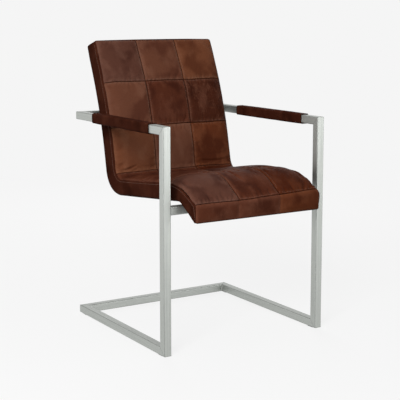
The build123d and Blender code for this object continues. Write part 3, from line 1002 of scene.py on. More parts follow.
class Hide(Enum):
    """Tones of the patches and of the plain cover."""

    MAUVE = LeatherFinish(
        "mauve_hide", "leather_worn", srgb(87, 54, 43), srgb(65, 36, 28), srgb(108, 73, 60), veins=0.2)
    TAN = LeatherFinish(
        "tan_hide", "leather_worn", srgb(99, 60, 44), srgb(78, 42, 30), srgb(115, 76, 59), veins=0.15)
    SADDLE = LeatherFinish(
        "saddle_hide", "leather_red", srgb(91, 46, 26), srgb(68, 30, 16), srgb(112, 65, 42), veins=0.2)
    COGNAC = LeatherFinish(
        "cognac_hide", "leather_red", srgb(107, 63, 42), srgb(81, 42, 26), srgb(121, 78, 56), veins=0.2)
    CHESTNUT = LeatherFinish(
        "chestnut_hide", "leather_red", srgb(70, 30, 14), srgb(50, 19, 8), srgb(92, 48, 29), veins=0.2)
    RUSSET = LeatherFinish(
        "russet_hide", "leather_red", srgb(79, 40, 26), srgb(55, 24, 15), srgb(100, 58, 42))
    UMBER = LeatherFinish(
        "umber_hide", "leather_dark", srgb(67, 31, 18), srgb(46, 19, 11), srgb(99, 60, 45), veins=0.9)
    TOBACCO = LeatherFinish(
        "tobacco_hide", "leather_brown", srgb(88, 47, 32), srgb(64, 30, 19), srgb(108, 67, 51))
    COVER = LeatherFinish(
        "plain_cover_hide", "leather_cover", srgb(59, 27, 17), srgb(44, 19, 11), srgb(79, 42, 29),
        veins=0.2, rub=0.15, roughness=0.65, specular=0.006)


PATCH_HIDES = {
    "back_top": (Hide.MAUVE, Hide.TAN, Hide.COGNAC),
    "back_middle": (Hide.TAN, Hide.RUSSET, Hide.UMBER),
    "back_lower": (Hide.COGNAC, Hide.TAN, Hide.SADDLE),
    "seat_rear": (Hide.RUSSET, Hide.RUSSET, Hide.CHESTNUT),
    "seat_middle": (Hide.RUSSET, Hide.UMBER, Hide.CHESTNUT),
    "seat_front": (Hide.MAUVE, Hide.RUSSET, Hide.CHESTNUT),
    "front_edge": (Hide.TOBACCO, Hide.TOBACCO, Hide.SADDLE),
}


class Draw(Enum):
    """Direction in which a steel tube is brushed."""

    ACROSS = (1.0, 0.0, 0.0)
    LENGTHWISE = (0.0, 1.0, 0.0)
    UPRIGHT = (0.0, 0.0, 1.0)

    def stretch(self, fine: float, coarse: float) -> Triple:
        """Scale of the drawn lines: coarse along the tube, fine across it."""
        scale = [coarse if along else fine for along in self.value]
        return scale[0], scale[1], scale[2]


@dataclass(frozen=True)
class MitrePlanes:
    """Places of the ground welds where mitred tubes meet."""

    front: float
    foot: float
    arm: float
    floor_corner: float
    arm_corner: float
    middle: float = 0.3

    def sockets(self) -> dict[str, float]:
        """Values of the mitre group's inputs."""
        return {"Front": self.front, "Foot": self.foot, "Arm": self.arm, "Floor Corner": self.floor_corner,
                "Arm Corner": self.arm_corner, "Middle": self.middle}


@dataclass(frozen=True)
class SteelFinish:
    """Satin brushed steel of one tube, with a painted dark reflection along its rounded edges and ground
    weld lines at its mitres.
    """

    draw: Draw
    mitres: MitrePlanes
    half: float
    base: Colour = srgb(172, 175, 171)
    streak: Colour = srgb(150, 153, 149)
    # Colour of the painted dark reflection along the rounded edges.
    edge: Colour = srgb(84, 86, 84)
    weld: Colour = srgb(82, 84, 81)
    fine: float = 1500.0
    coarse: float = 5.0
    # Share of the painted dark reflection along the rounded edges.
    edge_reflection_share: float = 0.7
    weld_share: float = 0.8
    rough_range: Range = (0.40, 0.52)
    weld_rough: float = 0.2
    weld_sink: float = 6.0
    relief: float = 0.12
    relief_depth: float = 0.0001

    def material(self, node: str) -> bpy.types.Material:
        """The finish as a material for one tube.

        Args:
            node: Name of the tube's node.

        Returns:
            The material.
        """
        material, graph, shader, place = blank_material(f"{node}_brushed_steel")
        low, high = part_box(node)
        stretched = graph.stretch(place, self.draw.stretch(self.fine, self.coarse))
        lines = NodeGroups.place(graph, Effect.BRUSHED_LINES, {"Vector": stretched})
        mitre = NodeGroups.place(graph, Effect.MITRE_LINES, {"Vector": place, **self.mitres.sockets()})
        edges = NodeGroups.place(graph, Effect.TUBE_EDGES, {
            "Vector": place, "Middle": (low + high) / 2, "Axis": self.draw.value, "Half": self.half,
        })
        line, weld = lines.outputs["Line"], mitre.outputs["Mask"]
        brushed = graph.mix(graph.fit(line, (0.35, 0.7), (0.0, 1.0)), rgba(self.base), rgba(self.streak))
        # Painted dark reflection along the tube's rounded edges.
        edge = graph.math("MULTIPLY", edges.outputs["Mask"], self.edge_reflection_share)
        edge_reflected = graph.mix(edge, brushed, rgba(self.edge))
        colour = graph.mix(graph.math("MULTIPLY", weld, self.weld_share), edge_reflected, rgba(self.weld))
        rough = graph.fit(line, (0.3, 0.7), self.rough_range)
        rough = graph.math("ADD", rough, graph.math("MULTIPLY", weld, self.weld_rough))
        height = graph.math("SUBTRACT", line, graph.math("MULTIPLY", weld, self.weld_sink))
        graph.join(colour, shader.inputs["Base Color"])
        graph.join(rough, shader.inputs["Roughness"])
        shader.inputs["Metallic"].default_value = 1.0
        bump(graph, shader, height, self.relief, self.relief_depth)
        return material


@dataclass(frozen=True)
class PlainFinish:
    """A plain hard or fibrous finish with fine speckle."""

    name: str
    base: Colour
    fleck: Colour
    scale: float
    roughness: float
    metallic: float = 0.0
    stretch: Triple = (1.0, 1.0, 1.0)
    rough_change: Range = (-0.05, 0.08)
    relief: float = 0.15
    relief_depth: float = 0.0003

    def material(self) -> bpy.types.Material:
        """Gives the finish as a material, which is made the first time that it is asked for.

        Returns:
            The material.
        """
        known = bpy.data.materials.get(self.name)
        if known:
            return known
        material, graph, shader, place = blank_material(self.name)
        speckle = graph.noise(graph.stretch(place, self.stretch), self.scale, detail=4.0, rough=0.6)
        colour = graph.mix(graph.fit(speckle, (0.4, 0.65), (0.0, 1.0)), rgba(self.base), rgba(self.fleck))
        smooth, dull = (self.roughness + change for change in self.rough_change)
        graph.join(colour, shader.inputs["Base Color"])
        graph.join(graph.fit(speckle, (0.3, 0.7), (smooth, dull)), shader.inputs["Roughness"])
        shader.inputs["Metallic"].default_value = self.metallic
        bump(graph, shader, speckle, self.relief, self.relief_depth)
        return material


THREAD = PlainFinish("waxed_thread", srgb(108, 76, 58), srgb(84, 56, 42), 2500.0, 0.6)
WELD = PlainFinish("weld_bead", srgb(172, 174, 170), srgb(144, 145, 141), 900.0, 0.42, metallic=1.0)
PLASTIC = PlainFinish("moulded_black_plastic", srgb(26, 26, 27), srgb(34, 34, 35), 1400.0, 0.55)
ZINC = PlainFinish("zinc_plate", srgb(176, 178, 180), srgb(158, 160, 162), 700.0, 0.36, metallic=1.0)
BRASS = PlainFinish("brass_insert", srgb(196, 168, 104), srgb(176, 148, 88), 600.0, 0.4, metallic=1.0)
PLYWOOD = PlainFinish(
    "bent_plywood", srgb(196, 162, 118), srgb(166, 128, 86), 40.0, 0.65, stretch=(0.3, 3.0, 3.0))


def dress(piece: bpy.types.Object, material: bpy.types.Material) -> None:
    """Makes a material the only one of a piece."""
    piece.data.materials.clear()
    piece.data.materials.append(material)


def hand_over(piece: bpy.types.Object, replaced: Sequence[str] = ()) -> None:
    """Tells the frame what a finished piece is.

    Args:
        piece: The piece.
        replaced: Solid nodes that the piece stands for.
    """
    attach(piece, BODY)
    if replaced:
        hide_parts(*replaced)
    LOG.info("%s: %d faces", piece.name, len(piece.data.polygons))


def hand_over_plain(piece: bpy.types.Object, replaced: Sequence[str]) -> None:
    """Dresses a piece in the plain cover's leather and tells the frame what it is."""
    dress(piece, Hide.COVER.value.material())
    hand_over(piece, replaced)


# Leather cover


def cubic_weights(count: int, share: Array) -> Array:
    """Weights that read evenly spaced values smoothly between their places.

    Args:
        count: Number of steps between the values.
        share: Places to read at, from 0 to 1.

    Returns:
        One row of weights for each place.
    """
    place = np.clip(share, 0.0, 1.0) * count
    first = np.minimum(np.floor(place).astype(int), count - 1)
    t = place - first
    parts = (
        (-1, -0.5 * t + t ** 2 - 0.5 * t ** 3),
        (0, 1 - 2.5 * t ** 2 + 1.5 * t ** 3),
        (1, 0.5 * t + 2 * t ** 2 - 1.5 * t ** 3),
        (2, -0.5 * t ** 2 + 0.5 * t ** 3),
    )
    weights = np.zeros((len(share), count + 1))
    rows = np.arange(len(share))
    for step, part in parts:
        np.add.at(weights, (rows, np.clip(first + step, 0, count)), part)
    return weights


@dataclass(frozen=True)
class Wander:
    """Slow waves by which a sewn seam leaves its straight line."""

    pitches: Range
    start: float
    shifts: Range
    small: float = 0.3

    def at(self, along: Array, beside: Array) -> Array:
        """Finds how far seams swing to the side.

        Args:
            along: Distances along the seams.
            beside: Places of the seams.

        Returns:
            The swing at each place, from about -1 to 1.
        """
        large = np.sin(along * self.pitches[0] + self.shifts[0] * beside)
        return large + self.small * np.sin(along * self.pitches[1] + self.start + self.shifts[1] * beside)


CLOTH_SETTINGS = {
    "quality": 6,
    "mass": 0.25,
    "tension_stiffness": 18.0,
    "compression_stiffness": 14.0,
    "shear_stiffness": 8.0,
    "bending_stiffness": 0.6,
    "use_pressure": True,
    "shrink_min": -0.012,
}


@dataclass
class PatchCover:
    """The patchwork that the sitter touches: rows of three from the back's top to the front edge."""

    shape: ShellShape
    columns: tuple[str, ...] = ("left", "centre", "right")
    rows: tuple[str, ...] = tuple(PATCH_HIDES)
    zone_rows: int = 3
    crowns: tuple[float, ...] = (0.0, 0.0075, 0.0075, 0.004, 0.008, 0.018, 0.0, 0.0)
    falls: tuple[float, ...] = (9.0, 9.0, 9.0, 7.0, 5.0, 4.0, 4.0, 4.0)
    seam_x: float = 0.0736
    edge_flat: float = 0.0085
    puffs: tuple[float, ...] = (0.0052, 0.0052, 0.0050, 0.0040, 0.0050, 0.0055, 0.0050)
    puff_gain: float = 2.2
    pressure: float = 5.0
    wander: float = 0.0007
    swing: Wander = Wander((31.0, 97.0), 1.3, (40.0, 25.0))
    sway: Wander = Wander((34.0, 103.0), 0.7, (31.0, 17.0))
    calm_reach: float = 0.05
    lip_drift: float = 0.010
    lip_reach: float = 0.045
    lip_start: float = 0.1
    cloth_cells: int = 24
    front_cells: int = 10
    cloth_frames: int = 20
    step: float = 0.0027
    uneven: float = 0.0008
    uneven_scale: float = 19.0
    seed_step: float = 0.37
    pucker: float = 0.00025
    front_pucker: float = 0.00009
    pucker_pitches: Range = (0.0140, 0.0125)
    pucker_reach: float = 0.0065
    pucker_drift: float = 6.0
    drift_scale: float = 9.0
    drift_seed: float = 4.1
    stitch_offset: float = 0.0046
    fill: float = 0.85
    line: SideLine = field(init=False)
    crease: float = field(init=False)
    lip: float = field(init=False)
    row_ends: Array = field(init=False)
    column_ends: Array = field(init=False)
    sheets: dict[str, LeatherSheet] = field(init=False, default_factory=dict)
    relief: dict[tuple[int, int], Array] = field(init=False, default_factory=dict)

    def __post_init__(self) -> None:
        """Finds where the rows and columns end."""
        self.line = self.shape.front_line()
        self.crease = self.line.bends[1] - self.shape.crease_lift
        self.lip = self.line.bends[3]
        back = np.linspace(0.0, self.crease, self.zone_rows + 1)
        seat = np.linspace(self.crease, self.lip, self.zone_rows + 1)
        self.row_ends = np.array([*back, *seat[1:], self.line.length])
        half = self.shape.half_width
        self.column_ends = np.array([-half, -self.seam_x, self.seam_x, half])

    def crown(self, x: Array, travel: Array) -> Array:
        """Finds the padding's broad swell above the side seams.

        Args:
            x: Distance across.
            travel: Distance along.

        Returns:
            The height at each place.
        """
        row = np.clip(np.searchsorted(self.row_ends, travel, side="right") - 1, 0, len(self.rows) - 1)
        share = (travel - self.row_ends[row]) / (self.row_ends[row + 1] - self.row_ends[row])
        crowns = np.array(self.crowns)
        turn = np.pi / 2 * np.clip(share, 0.0, 1.0)
        height = crowns[row] * np.cos(turn) + crowns[row + 1] * np.sin(turn)
        reach = self.shape.half_width - self.edge_flat - self.seam_x
        fall = np.clip((np.abs(x) - self.seam_x) / reach, 0.0, 1.0)
        return height * (1.0 - fall ** np.interp(travel, self.row_ends, self.falls))

    def place(self, x: Array, travel: Array, lift: Array) -> Array:
        """Point at a distance across, a distance along and a height above the side line.

        Args:
            x: Distance across on a straight grid.
            travel: Distance along on a straight grid.
            lift: Height above the line.

        Returns:
            The point, on seams that wander a little as sewn ones do.
        """
        half = self.shape.half_width
        calm_x = np.clip((half - np.abs(x)) / self.calm_reach, 0.0, 1.0)
        calm_s = np.clip(np.minimum(travel, self.line.length - travel) / self.calm_reach, 0.0, 1.0)
        near_lip = np.exp(-((travel - self.lip) / self.lip_reach) ** 2)
        drift = self.lip_drift * np.clip(x / half + self.lip_start, 0.0, 1.0) * near_lip
        point, out = self.line.at(travel + self.wander * self.sway.at(x, travel) * calm_s - drift)
        side = point + out * lift[..., None]
        across = x + self.wander * self.swing.at(travel, x) * calm_x
        return np.concatenate([across[..., None], side], axis=-1)

    def cell_counts(self) -> list[int]:
        """Cloth cells along each row."""
        return [self.cloth_cells] * (len(self.rows) - 1) + [self.front_cells]

    @staticmethod
    def _marks(ends: Array, counts: Sequence[int]) -> Array:
        """Spaces the cloth's points between the seams.

        Args:
            ends: Places of the seams.
            counts: Number of cells from each seam to the next.

        Returns:
            Places of the points, with each seam once.
        """
        spans = [np.linspace(low, high, count + 1)[:-1] for low, high, count in zip(ends, ends[1:], counts)]
        return np.concatenate([*spans, ends[-1:]])

    def blow_up(self) -> None:
        """Finds how each patch swells: a cloth held along its seams is blown up from inside.
        """
        counts = self.cell_counts()
        across = pillow_profile(np.linspace(0.0, 1.0, self.cloth_cells + 1))
        for row, count in enumerate(counts):
            bulge = pillow_profile(np.linspace(0.0, 1.0, count + 1))
            for column in range(len(self.columns)):
                self.relief[row, column] = self.puffs[row] * np.outer(bulge, across)
        x = self._marks(self.column_ends, [self.cloth_cells] * len(self.columns))
        travel = self._marks(self.row_ends, counts)
        starts = np.cumsum([0, *counts])
        moved = self._cloth(x, travel, starts)
        for row in range(len(counts) - 1):
            rows = slice(starts[row], starts[row + 1] + 1)
            for column in range(len(self.columns)):
                left = column * self.cloth_cells
                rise = moved[rows, left:left + self.cloth_cells + 1]
                self.relief[row, column] = self.puffs[row] * np.tanh(self.puff_gain * rise / rise.max())

    def _cloth(self, x: Array, travel: Array, held_rows: Array) -> Array:
        """Runs the cloth.

        Args:
            x: Places of the cloth's points across.
            travel: Places of the cloth's points along.
            held_rows: Numbers of the rows that are sewn down.

        Returns:
            How far each point rose, by row and column.
        """
        grid_x, grid_s = np.meshgrid(x, travel)
        rest = self.place(grid_x, grid_s, self.crown(grid_x, grid_s))
        cloth, row, column = laid_grid("cover_cloth", rest, Vector((0, -1, 1)))
        held = np.isin(row, held_rows) | (column % self.cloth_cells == 0)
        seams = cloth.vertex_groups.new(name="seams")
        seams.add([int(index) for index in np.flatnonzero(held)], 1.0, "REPLACE")
        modifier = cloth.modifiers.new("Cloth", "CLOTH")
        for name, value in CLOTH_SETTINGS.items():
            setattr(modifier.settings, name, value)
        modifier.settings.uniform_pressure_force = self.pressure
        modifier.settings.vertex_group_mass = seams.name
        modifier.settings.effector_weights.gravity = 0.0
        modifier.point_cache.frame_start = 1
        modifier.point_cache.frame_end = self.cloth_frames
        after = np.zeros_like(rest)
        after[row, column] = self._settled(cloth)
        bpy.data.objects.remove(cloth)
        out = self.line.at(grid_s)[1]
        rise = ((after - rest)[..., 1:] * out).sum(axis=-1)
        LOG.info("cloth rose by up to %.1f mm", rise.max() / MM)
        return rise

    def _settled(self, cloth: bpy.types.Object) -> Array:
        """Plays a cloth to its last frame.

        Args:
            cloth: The cloth.

        Returns:
            Where its points end.
        """
        scene = bpy.context.scene
        for frame in range(1, self.cloth_frames + 1):
            scene.frame_set(frame)
        shown = cloth.evaluated_get(bpy.context.evaluated_depsgraph_get()).data
        flat = np.empty(len(shown.vertices) * 3)
        shown.vertices.foreach_get("co", flat)
        scene.frame_set(1)
        return flat.reshape(-1, 3)

    def swell(self, row: int, column: int) -> Callable[[GridLines, GridLines], Array]:
        """Makes the height function of one patch.

        Args:
            row: Number of the patch's row.
            column: Number of its column.

        Returns:
            A function that gives the patch's height on its grid lines.
        """
        relief = self.relief[row, column]
        uneven = SlowSwell(self.uneven, self.uneven_scale, row + self.seed_step * column)
        gather = self.front_pucker if row == len(self.rows) - 1 else self.pucker

        def height(across: GridLines, along: GridLines) -> Array:
            """Finds the height of the patch's surface.

            Args:
                across: Its grid lines across.
                along: Its grid lines along.

            Returns:
                The height at each point, by row and column.
            """
            x, travel = np.meshgrid(across.at, along.at)
            weights = cubic_weights(relief.shape[0] - 1, along.share())
            risen = weights @ relief @ cubic_weights(relief.shape[1] - 1, across.share()).T
            lift = self.crown(x, travel) + risen
            for crease in CREASES:
                lift = lift + crease.press(x, travel - self.crease)
            spots = self.place(x, travel, lift)
            lift = lift + uneven.on(across, along, spots)
            return lift + gather * self._puckers(across, along, spots)

        return height

    def _puckers(self, across: GridLines, along: GridLines, spots: Array) -> Array:
        """Finds the small gathers that run off a patch's seams.

        Args:
            across: The patch's grid lines across.
            along: Its grid lines along.
            spots: Places of the grid's points in space.

        Returns:
            The gathers at each point, from about -1 to 1.
        """
        near_x, near_s = np.meshgrid(across.near(), along.near())
        x, travel = np.meshgrid(across.at, along.at)
        pitch_x, pitch_s = self.pucker_pitches
        drift = self.pucker_drift * unevenness(spots, self.drift_scale, self.drift_seed)
        beside = np.sin(travel / pitch_s * 2 * np.pi + drift) * np.exp(-near_x / self.pucker_reach)
        below = np.sin(x / pitch_x * 2 * np.pi + drift) * np.exp(-near_s / self.pucker_reach)
        return beside + below

    def build(self) -> None:
        """Makes all patches and their topstitching."""
        self.blow_up()
        seams_s = [Seam.CORNER] + [Seam.FLAT] * (len(self.rows) - 1) + [Seam.TIGHT]
        hidden = {"back_middle_centre": ["back_foam"], "seat_middle_centre": ["seat_foam"]}
        for row, row_name in enumerate(self.rows):
            along = GridLines(*self.row_ends[row:row + 2], *seams_s[row:row + 2], self.step)
            middle = Seam.TIGHT if row_name == "front_edge" else Seam.FLAT
            seams_x = [Seam.CORNER, middle, middle, Seam.CORNER]
            outward = Vector((0, -1, 0.4)) if row else Vector((0, -1, 0))
            for column, column_name in enumerate(self.columns):
                ends = self.column_ends[column:column + 2]
                across = GridLines(*ends, *seams_x[column:column + 2], self.step)
                name = f"{row_name}_{column_name}"
                height = self.swell(row, column)
                sheet = LeatherSheet(f"{name}_leather", across, along, self.place, height, outward)
                piece = sheet.build()
                self.sheets[name] = sheet
                hide = PATCH_HIDES[row_name][column].value
                dress(piece, hide.material())
                hand_over(piece, [f"{name}_patch", *hidden.get(name, [])])
        self._topstitch()

    def _topstitch(self) -> None:
        """Sews a row of stitches on both sides of each seam between patches of the back and of the seat."""
        zones = {"back": self.rows[:self.zone_rows], "seat": self.rows[self.zone_rows:-1]}
        for zone, rows in zones.items():
            stitches = Topstitch(f"{zone}_topstitching")
            for row_name in rows:
                for column, column_name in enumerate(self.columns):
                    sheet = self.sheets[f"{row_name}_{column_name}"]
                    if column > 0:
                        stitches.follow(*sheet.row_points(0, self.stitch_offset, False))
                    if column < len(self.columns) - 1:
                        stitches.follow(*sheet.row_points(0, self.stitch_offset, True))
                    if row_name != self.rows[0]:
                        stitches.follow(*sheet.row_points(1, self.stitch_offset, False))
                    if row_name != "back_lower":
                        stitches.follow(*sheet.row_points(1, self.stitch_offset, True))
            stitches.build("leather_brown")


@dataclass
class Topstitch:
    """A set of sewn rows: one stitch is modelled, and copied along each row."""

    name: str
    length: float = 0.0044
    gap: float = 0.0018
    thread: float = 0.00050
    sides: int = 6
    rings: int = 5
    blunt: float = 0.7
    flat: float = 0.75
    places: list[tuple[Array, Array, Array]] = field(init=False, default_factory=list)

    def follow(self, points: Array, sideways: Array) -> None:
        """Spaces stitches along a line on the leather.

        Args:
            points: Points of the line.
            sideways: Steps along the surface, off the line.
        """
        runs = np.linalg.norm(np.diff(points, axis=0), axis=1)
        travel = np.concatenate([[0.0], np.cumsum(runs)])
        count = int(travel[-1] // (self.length + self.gap))
        pitch = travel[-1] / max(count, 1)
        for index in range(count):
            middle = (index + 0.5) * pitch
            ends = [np.array([np.interp(middle + d, travel, points[:, k]) for k in range(3)])
                    for d in (-self.length / 2, self.length / 2)]
            side = np.array([np.interp(middle, travel, sideways[:, k]) for k in range(3)])
            along = unit(ends[1] - ends[0])
            up = unit(np.cross(along, side))
            self.places.append(((ends[0] + ends[1]) / 2, along, up))

    def build(self, slot: str) -> None:
        """Makes one object of all the stitches.

        Args:
            slot: Material slot of the record; not used.
        """
        bpy.ops.object.select_all(action="DESELECT")
        bpy.ops.mesh.primitive_uv_sphere_add(segments=self.sides, ring_count=self.rings, radius=1.0)
        pattern = bpy.context.object
        shape = np.array([vertex.co[:] for vertex in pattern.data.vertices])
        faces = [list(face.vertices) for face in pattern.data.polygons]
        bpy.data.objects.remove(pattern)
        lengthwise = np.sign(shape[:, 2]) * np.abs(shape[:, 2]) ** self.blunt * self.length / 2
        vertices, polygons = [], []
        for middle, along, up in self.places:
            side = np.cross(up, along)
            start = len(vertices) * len(shape)
            section = np.outer(shape[:, 0], side) + np.outer(self.flat * shape[:, 1], up)
            vertices.append(middle + np.outer(lengthwise, along) + self.thread * section)
            polygons.extend([[index + start for index in face] for face in faces])
        mesh = bpy.data.meshes.new(self.name)
        mesh.from_pydata(np.concatenate(vertices).tolist(), [], polygons)
        piece = bpy.data.objects.new(self.name, mesh)
        bpy.context.scene.collection.objects.link(piece)
        mend_mesh(piece, merge=False, outward=True)
        bpy.ops.object.shade_smooth()
        dress(piece, THREAD.material())
        hand_over(piece)


@dataclass
class PlainCover:
    """The plain leather of the shell: side bands, top band, rear panel and underside panel."""

    shape: ShellShape
    step: float = 0.006
    band_step: float = 0.004
    band_puff: float = 0.0032
    top_puff: float = 0.0035
    rear_puff: float = 0.0030
    under_puff: float = 0.0016
    tip_tuck: float = 0.0060
    least_sink: float = 0.8
    least_width: float = 1e-6
    stitch_offset: float = 0.0088
    panel_swell: SlowSwell = SlowSwell(0.0008, 14.0, 7.7)
    top_swell: SlowSwell = SlowSwell(0.0008, 16.0, 2.9)
    band_uneven: float = 0.0009
    band_scale: float = 17.0
    band_seed: float = 5.1
    band_power: float = 2.5
    end_reach: float = 0.05
    end_power: float = 0.7
    shared_ends: int = 7
    panel_fill: float = 0.7
    band_fill: float = 0.75
    front: SideLine = field(init=False)
    rear: SideLine = field(init=False)

    def __post_init__(self) -> None:
        """Reads the two side lines."""
        self.front = self.shape.front_line()
        self.rear = self.shape.rear_line()

    @staticmethod
    def pillow(across: GridLines, along: GridLines, height: float) -> Array:
        """Swell that falls to nothing at all four seams."""
        return height * np.outer(pillow_profile(along.share()), pillow_profile(across.share()))

    def build(self) -> None:
        """Makes every plain sheet."""
        self._panel("rear_panel", 0.0, self.rear.bends[1], (Seam.CORNER, Seam.FLAT), self.rear_puff,
                    ["rear_panel", "back_wadding"], Vector((0, 1, 0)))
        self._panel("underside_panel", self.rear.bends[1], self.rear.length, (Seam.FLAT, Seam.TIGHT),
                    self.under_puff, ["underside_panel", "underside_wadding"], Vector((0, 0, -1)))
        self._top_band()
        for name, side in SIDES:
            self._side_band(name, side)

    def _panel(self, name: str, start: float, end: float, seams: tuple[Seam, Seam], puff: float,
               replaced: list[str], outward: Vector) -> None:
        """Makes a panel that follows the rear line.

        Args:
            name: Name of the panel.
            start: Where it starts along the rear line.
            end: Where it ends.
            seams: Kinds of its seams at start and end.
            puff: Height of its swell.
            replaced: Solid nodes that it stands for.
            outward: Rough direction of its outer side.
        """
        half = self.shape.half_width
        across = GridLines(-half, half, Seam.CORNER, Seam.CORNER, self.step)
        along = GridLines(start, end, *seams, self.step)

        def place(x: Array, travel: Array, lift: Array) -> Array:
            """Point outside the rear line."""
            point, inward = self.rear.at(travel)
            return np.concatenate([x[..., None], point - inward * lift[..., None]], axis=-1)

        def swell(across: GridLines, along: GridLines) -> Array:
            """Height of the panel."""
            spots = flat_spots(place, across, along)
            return self.pillow(across, along, puff) + self.panel_swell.on(across, along, spots)

        piece = LeatherSheet(f"{name}_leather", across, along, place, swell, outward).build()
        hand_over_plain(piece, replaced)

    def _top_band(self) -> None:
        """Makes the strip along the back's top edge."""
        start, end = self.front.points[0], self.rear.points[0]
        run = end - start
        up = np.array([-run[1], run[0]]) / np.linalg.norm(run)
        half = self.shape.half_width
        across = GridLines(-half, half, Seam.CORNER, Seam.CORNER, self.step)
        along = GridLines(0.0, float(np.linalg.norm(run)), Seam.CORNER, Seam.CORNER, self.band_step)

        def place(x: Array, travel: Array, lift: Array) -> Array:
            """Point above the top line."""
            side = start + unit(run) * travel[..., None] + up * lift[..., None]
            return np.concatenate([x[..., None], side], axis=-1)

        def swell(across: GridLines, along: GridLines) -> Array:
            """Height of the strip."""
            spots = flat_spots(place, across, along)
            return self.pillow(across, along, self.top_puff) + self.top_swell.on(across, along, spots)

        piece = LeatherSheet("top_band_leather", across, along, place, swell, Vector((0, 0, 1))).build()
        hand_over_plain(piece, ["top_band"])

    def _rear_travel(self, travel: Array) -> Array:
        """Place on the rear line that lies across from a place on the front line."""
        ends = [[*line.ends[:self.shared_ends], line.length] for line in (self.front, self.rear)]
        return np.interp(travel, *ends)

    def _band_bulge(self, across: GridLines, along: GridLines) -> Array:
        """Finds how far a side band stands out.

        Args:
            across: Its grid lines across.
            along: Its grid lines along.

        Returns:
            The distance at each point, which falls to nothing at the band's ends.
        """
        bulge = 1 - np.abs(2 * across.share() - 1) ** self.band_power
        ends = np.minimum(1.0, along.near() / self.end_reach) ** self.end_power
        return self.band_puff * np.outer(ends, bulge)

    def _side_band(self, name: str, side: float) -> None:
        """Makes the strip along one side of the shell, from the front line to the rear line.

        Args:
            name: Side of the chair.
            side: -1 for the left side, 1 for the right.
        """
        along = GridLines(0.0, self.front.length, Seam.CORNER, Seam.TIGHT, self.band_step)
        nominal = self.shape.seat_thickness
        across = GridLines(0.0, nominal, Seam.CORNER, Seam.CORNER, self.band_step)
        near_front = across.at < nominal / 2
        uneven = SlowSwell(self.band_uneven, self.band_scale, self.band_seed + side)

        def place(offset: Array, travel: Array, lift: Array) -> Array:
            """Point of the band, with its edges kept at their own width.

            Args:
                offset: Distance from the front line, at the seat's thickness.
                travel: Distance along the front line.
                lift: How far the point stands out of the shell's side.

            Returns:
                The point.
            """
            front, out = self.front.at(travel)
            rear = self.rear.at(self._rear_travel(travel))[0]
            run = rear - front
            width = np.maximum(np.linalg.norm(run, axis=-1), self.least_width)
            squeeze = np.minimum(1.0, width / nominal)
            kept = np.where(near_front[None, :], offset, offset - nominal) * squeeze
            inner = slice(across.edge - 1, len(across.at) - across.edge + 1)
            start, end = offset[:, inner][:, :1], offset[:, inner][:, -1:]
            share = np.clip((offset - start) / (end - start), 0.0, 1.0)
            low, high = start * squeeze, width - (nominal - end) * squeeze
            reach = np.where(share <= 0.0, offset * squeeze,
                             np.where(share >= 1.0, width + kept, low + (high - low) * share))
            tuck = self.tip_tuck * (1 - squeeze) ** 2
            point = front + run / width[..., None] * reach[..., None] - out * tuck[..., None]
            sunk = np.maximum(squeeze, self.least_sink)
            x = side * (self.shape.half_width + lift * np.where(lift < 0, sunk, squeeze) - tuck)
            return np.concatenate([x[..., None], point], axis=-1)

        def swell(across: GridLines, along: GridLines) -> Array:
            """How far the band stands out."""
            spots = flat_spots(place, across, along)
            return self._band_bulge(across, along) + uneven.on(across, along, spots)

        sheet = LeatherSheet(f"{name}_side_band_leather", across, along, place, swell, Vector((side, 0, 0)))
        hand_over_plain(sheet.build(), [f"{name}_side_band"])
        stitches = Topstitch(f"{name}_band_topstitching")
        stitches.follow(*sheet.row_points(0, self.stitch_offset, False))
        stitches.build(Hide.COVER.value.slot)


# Arms


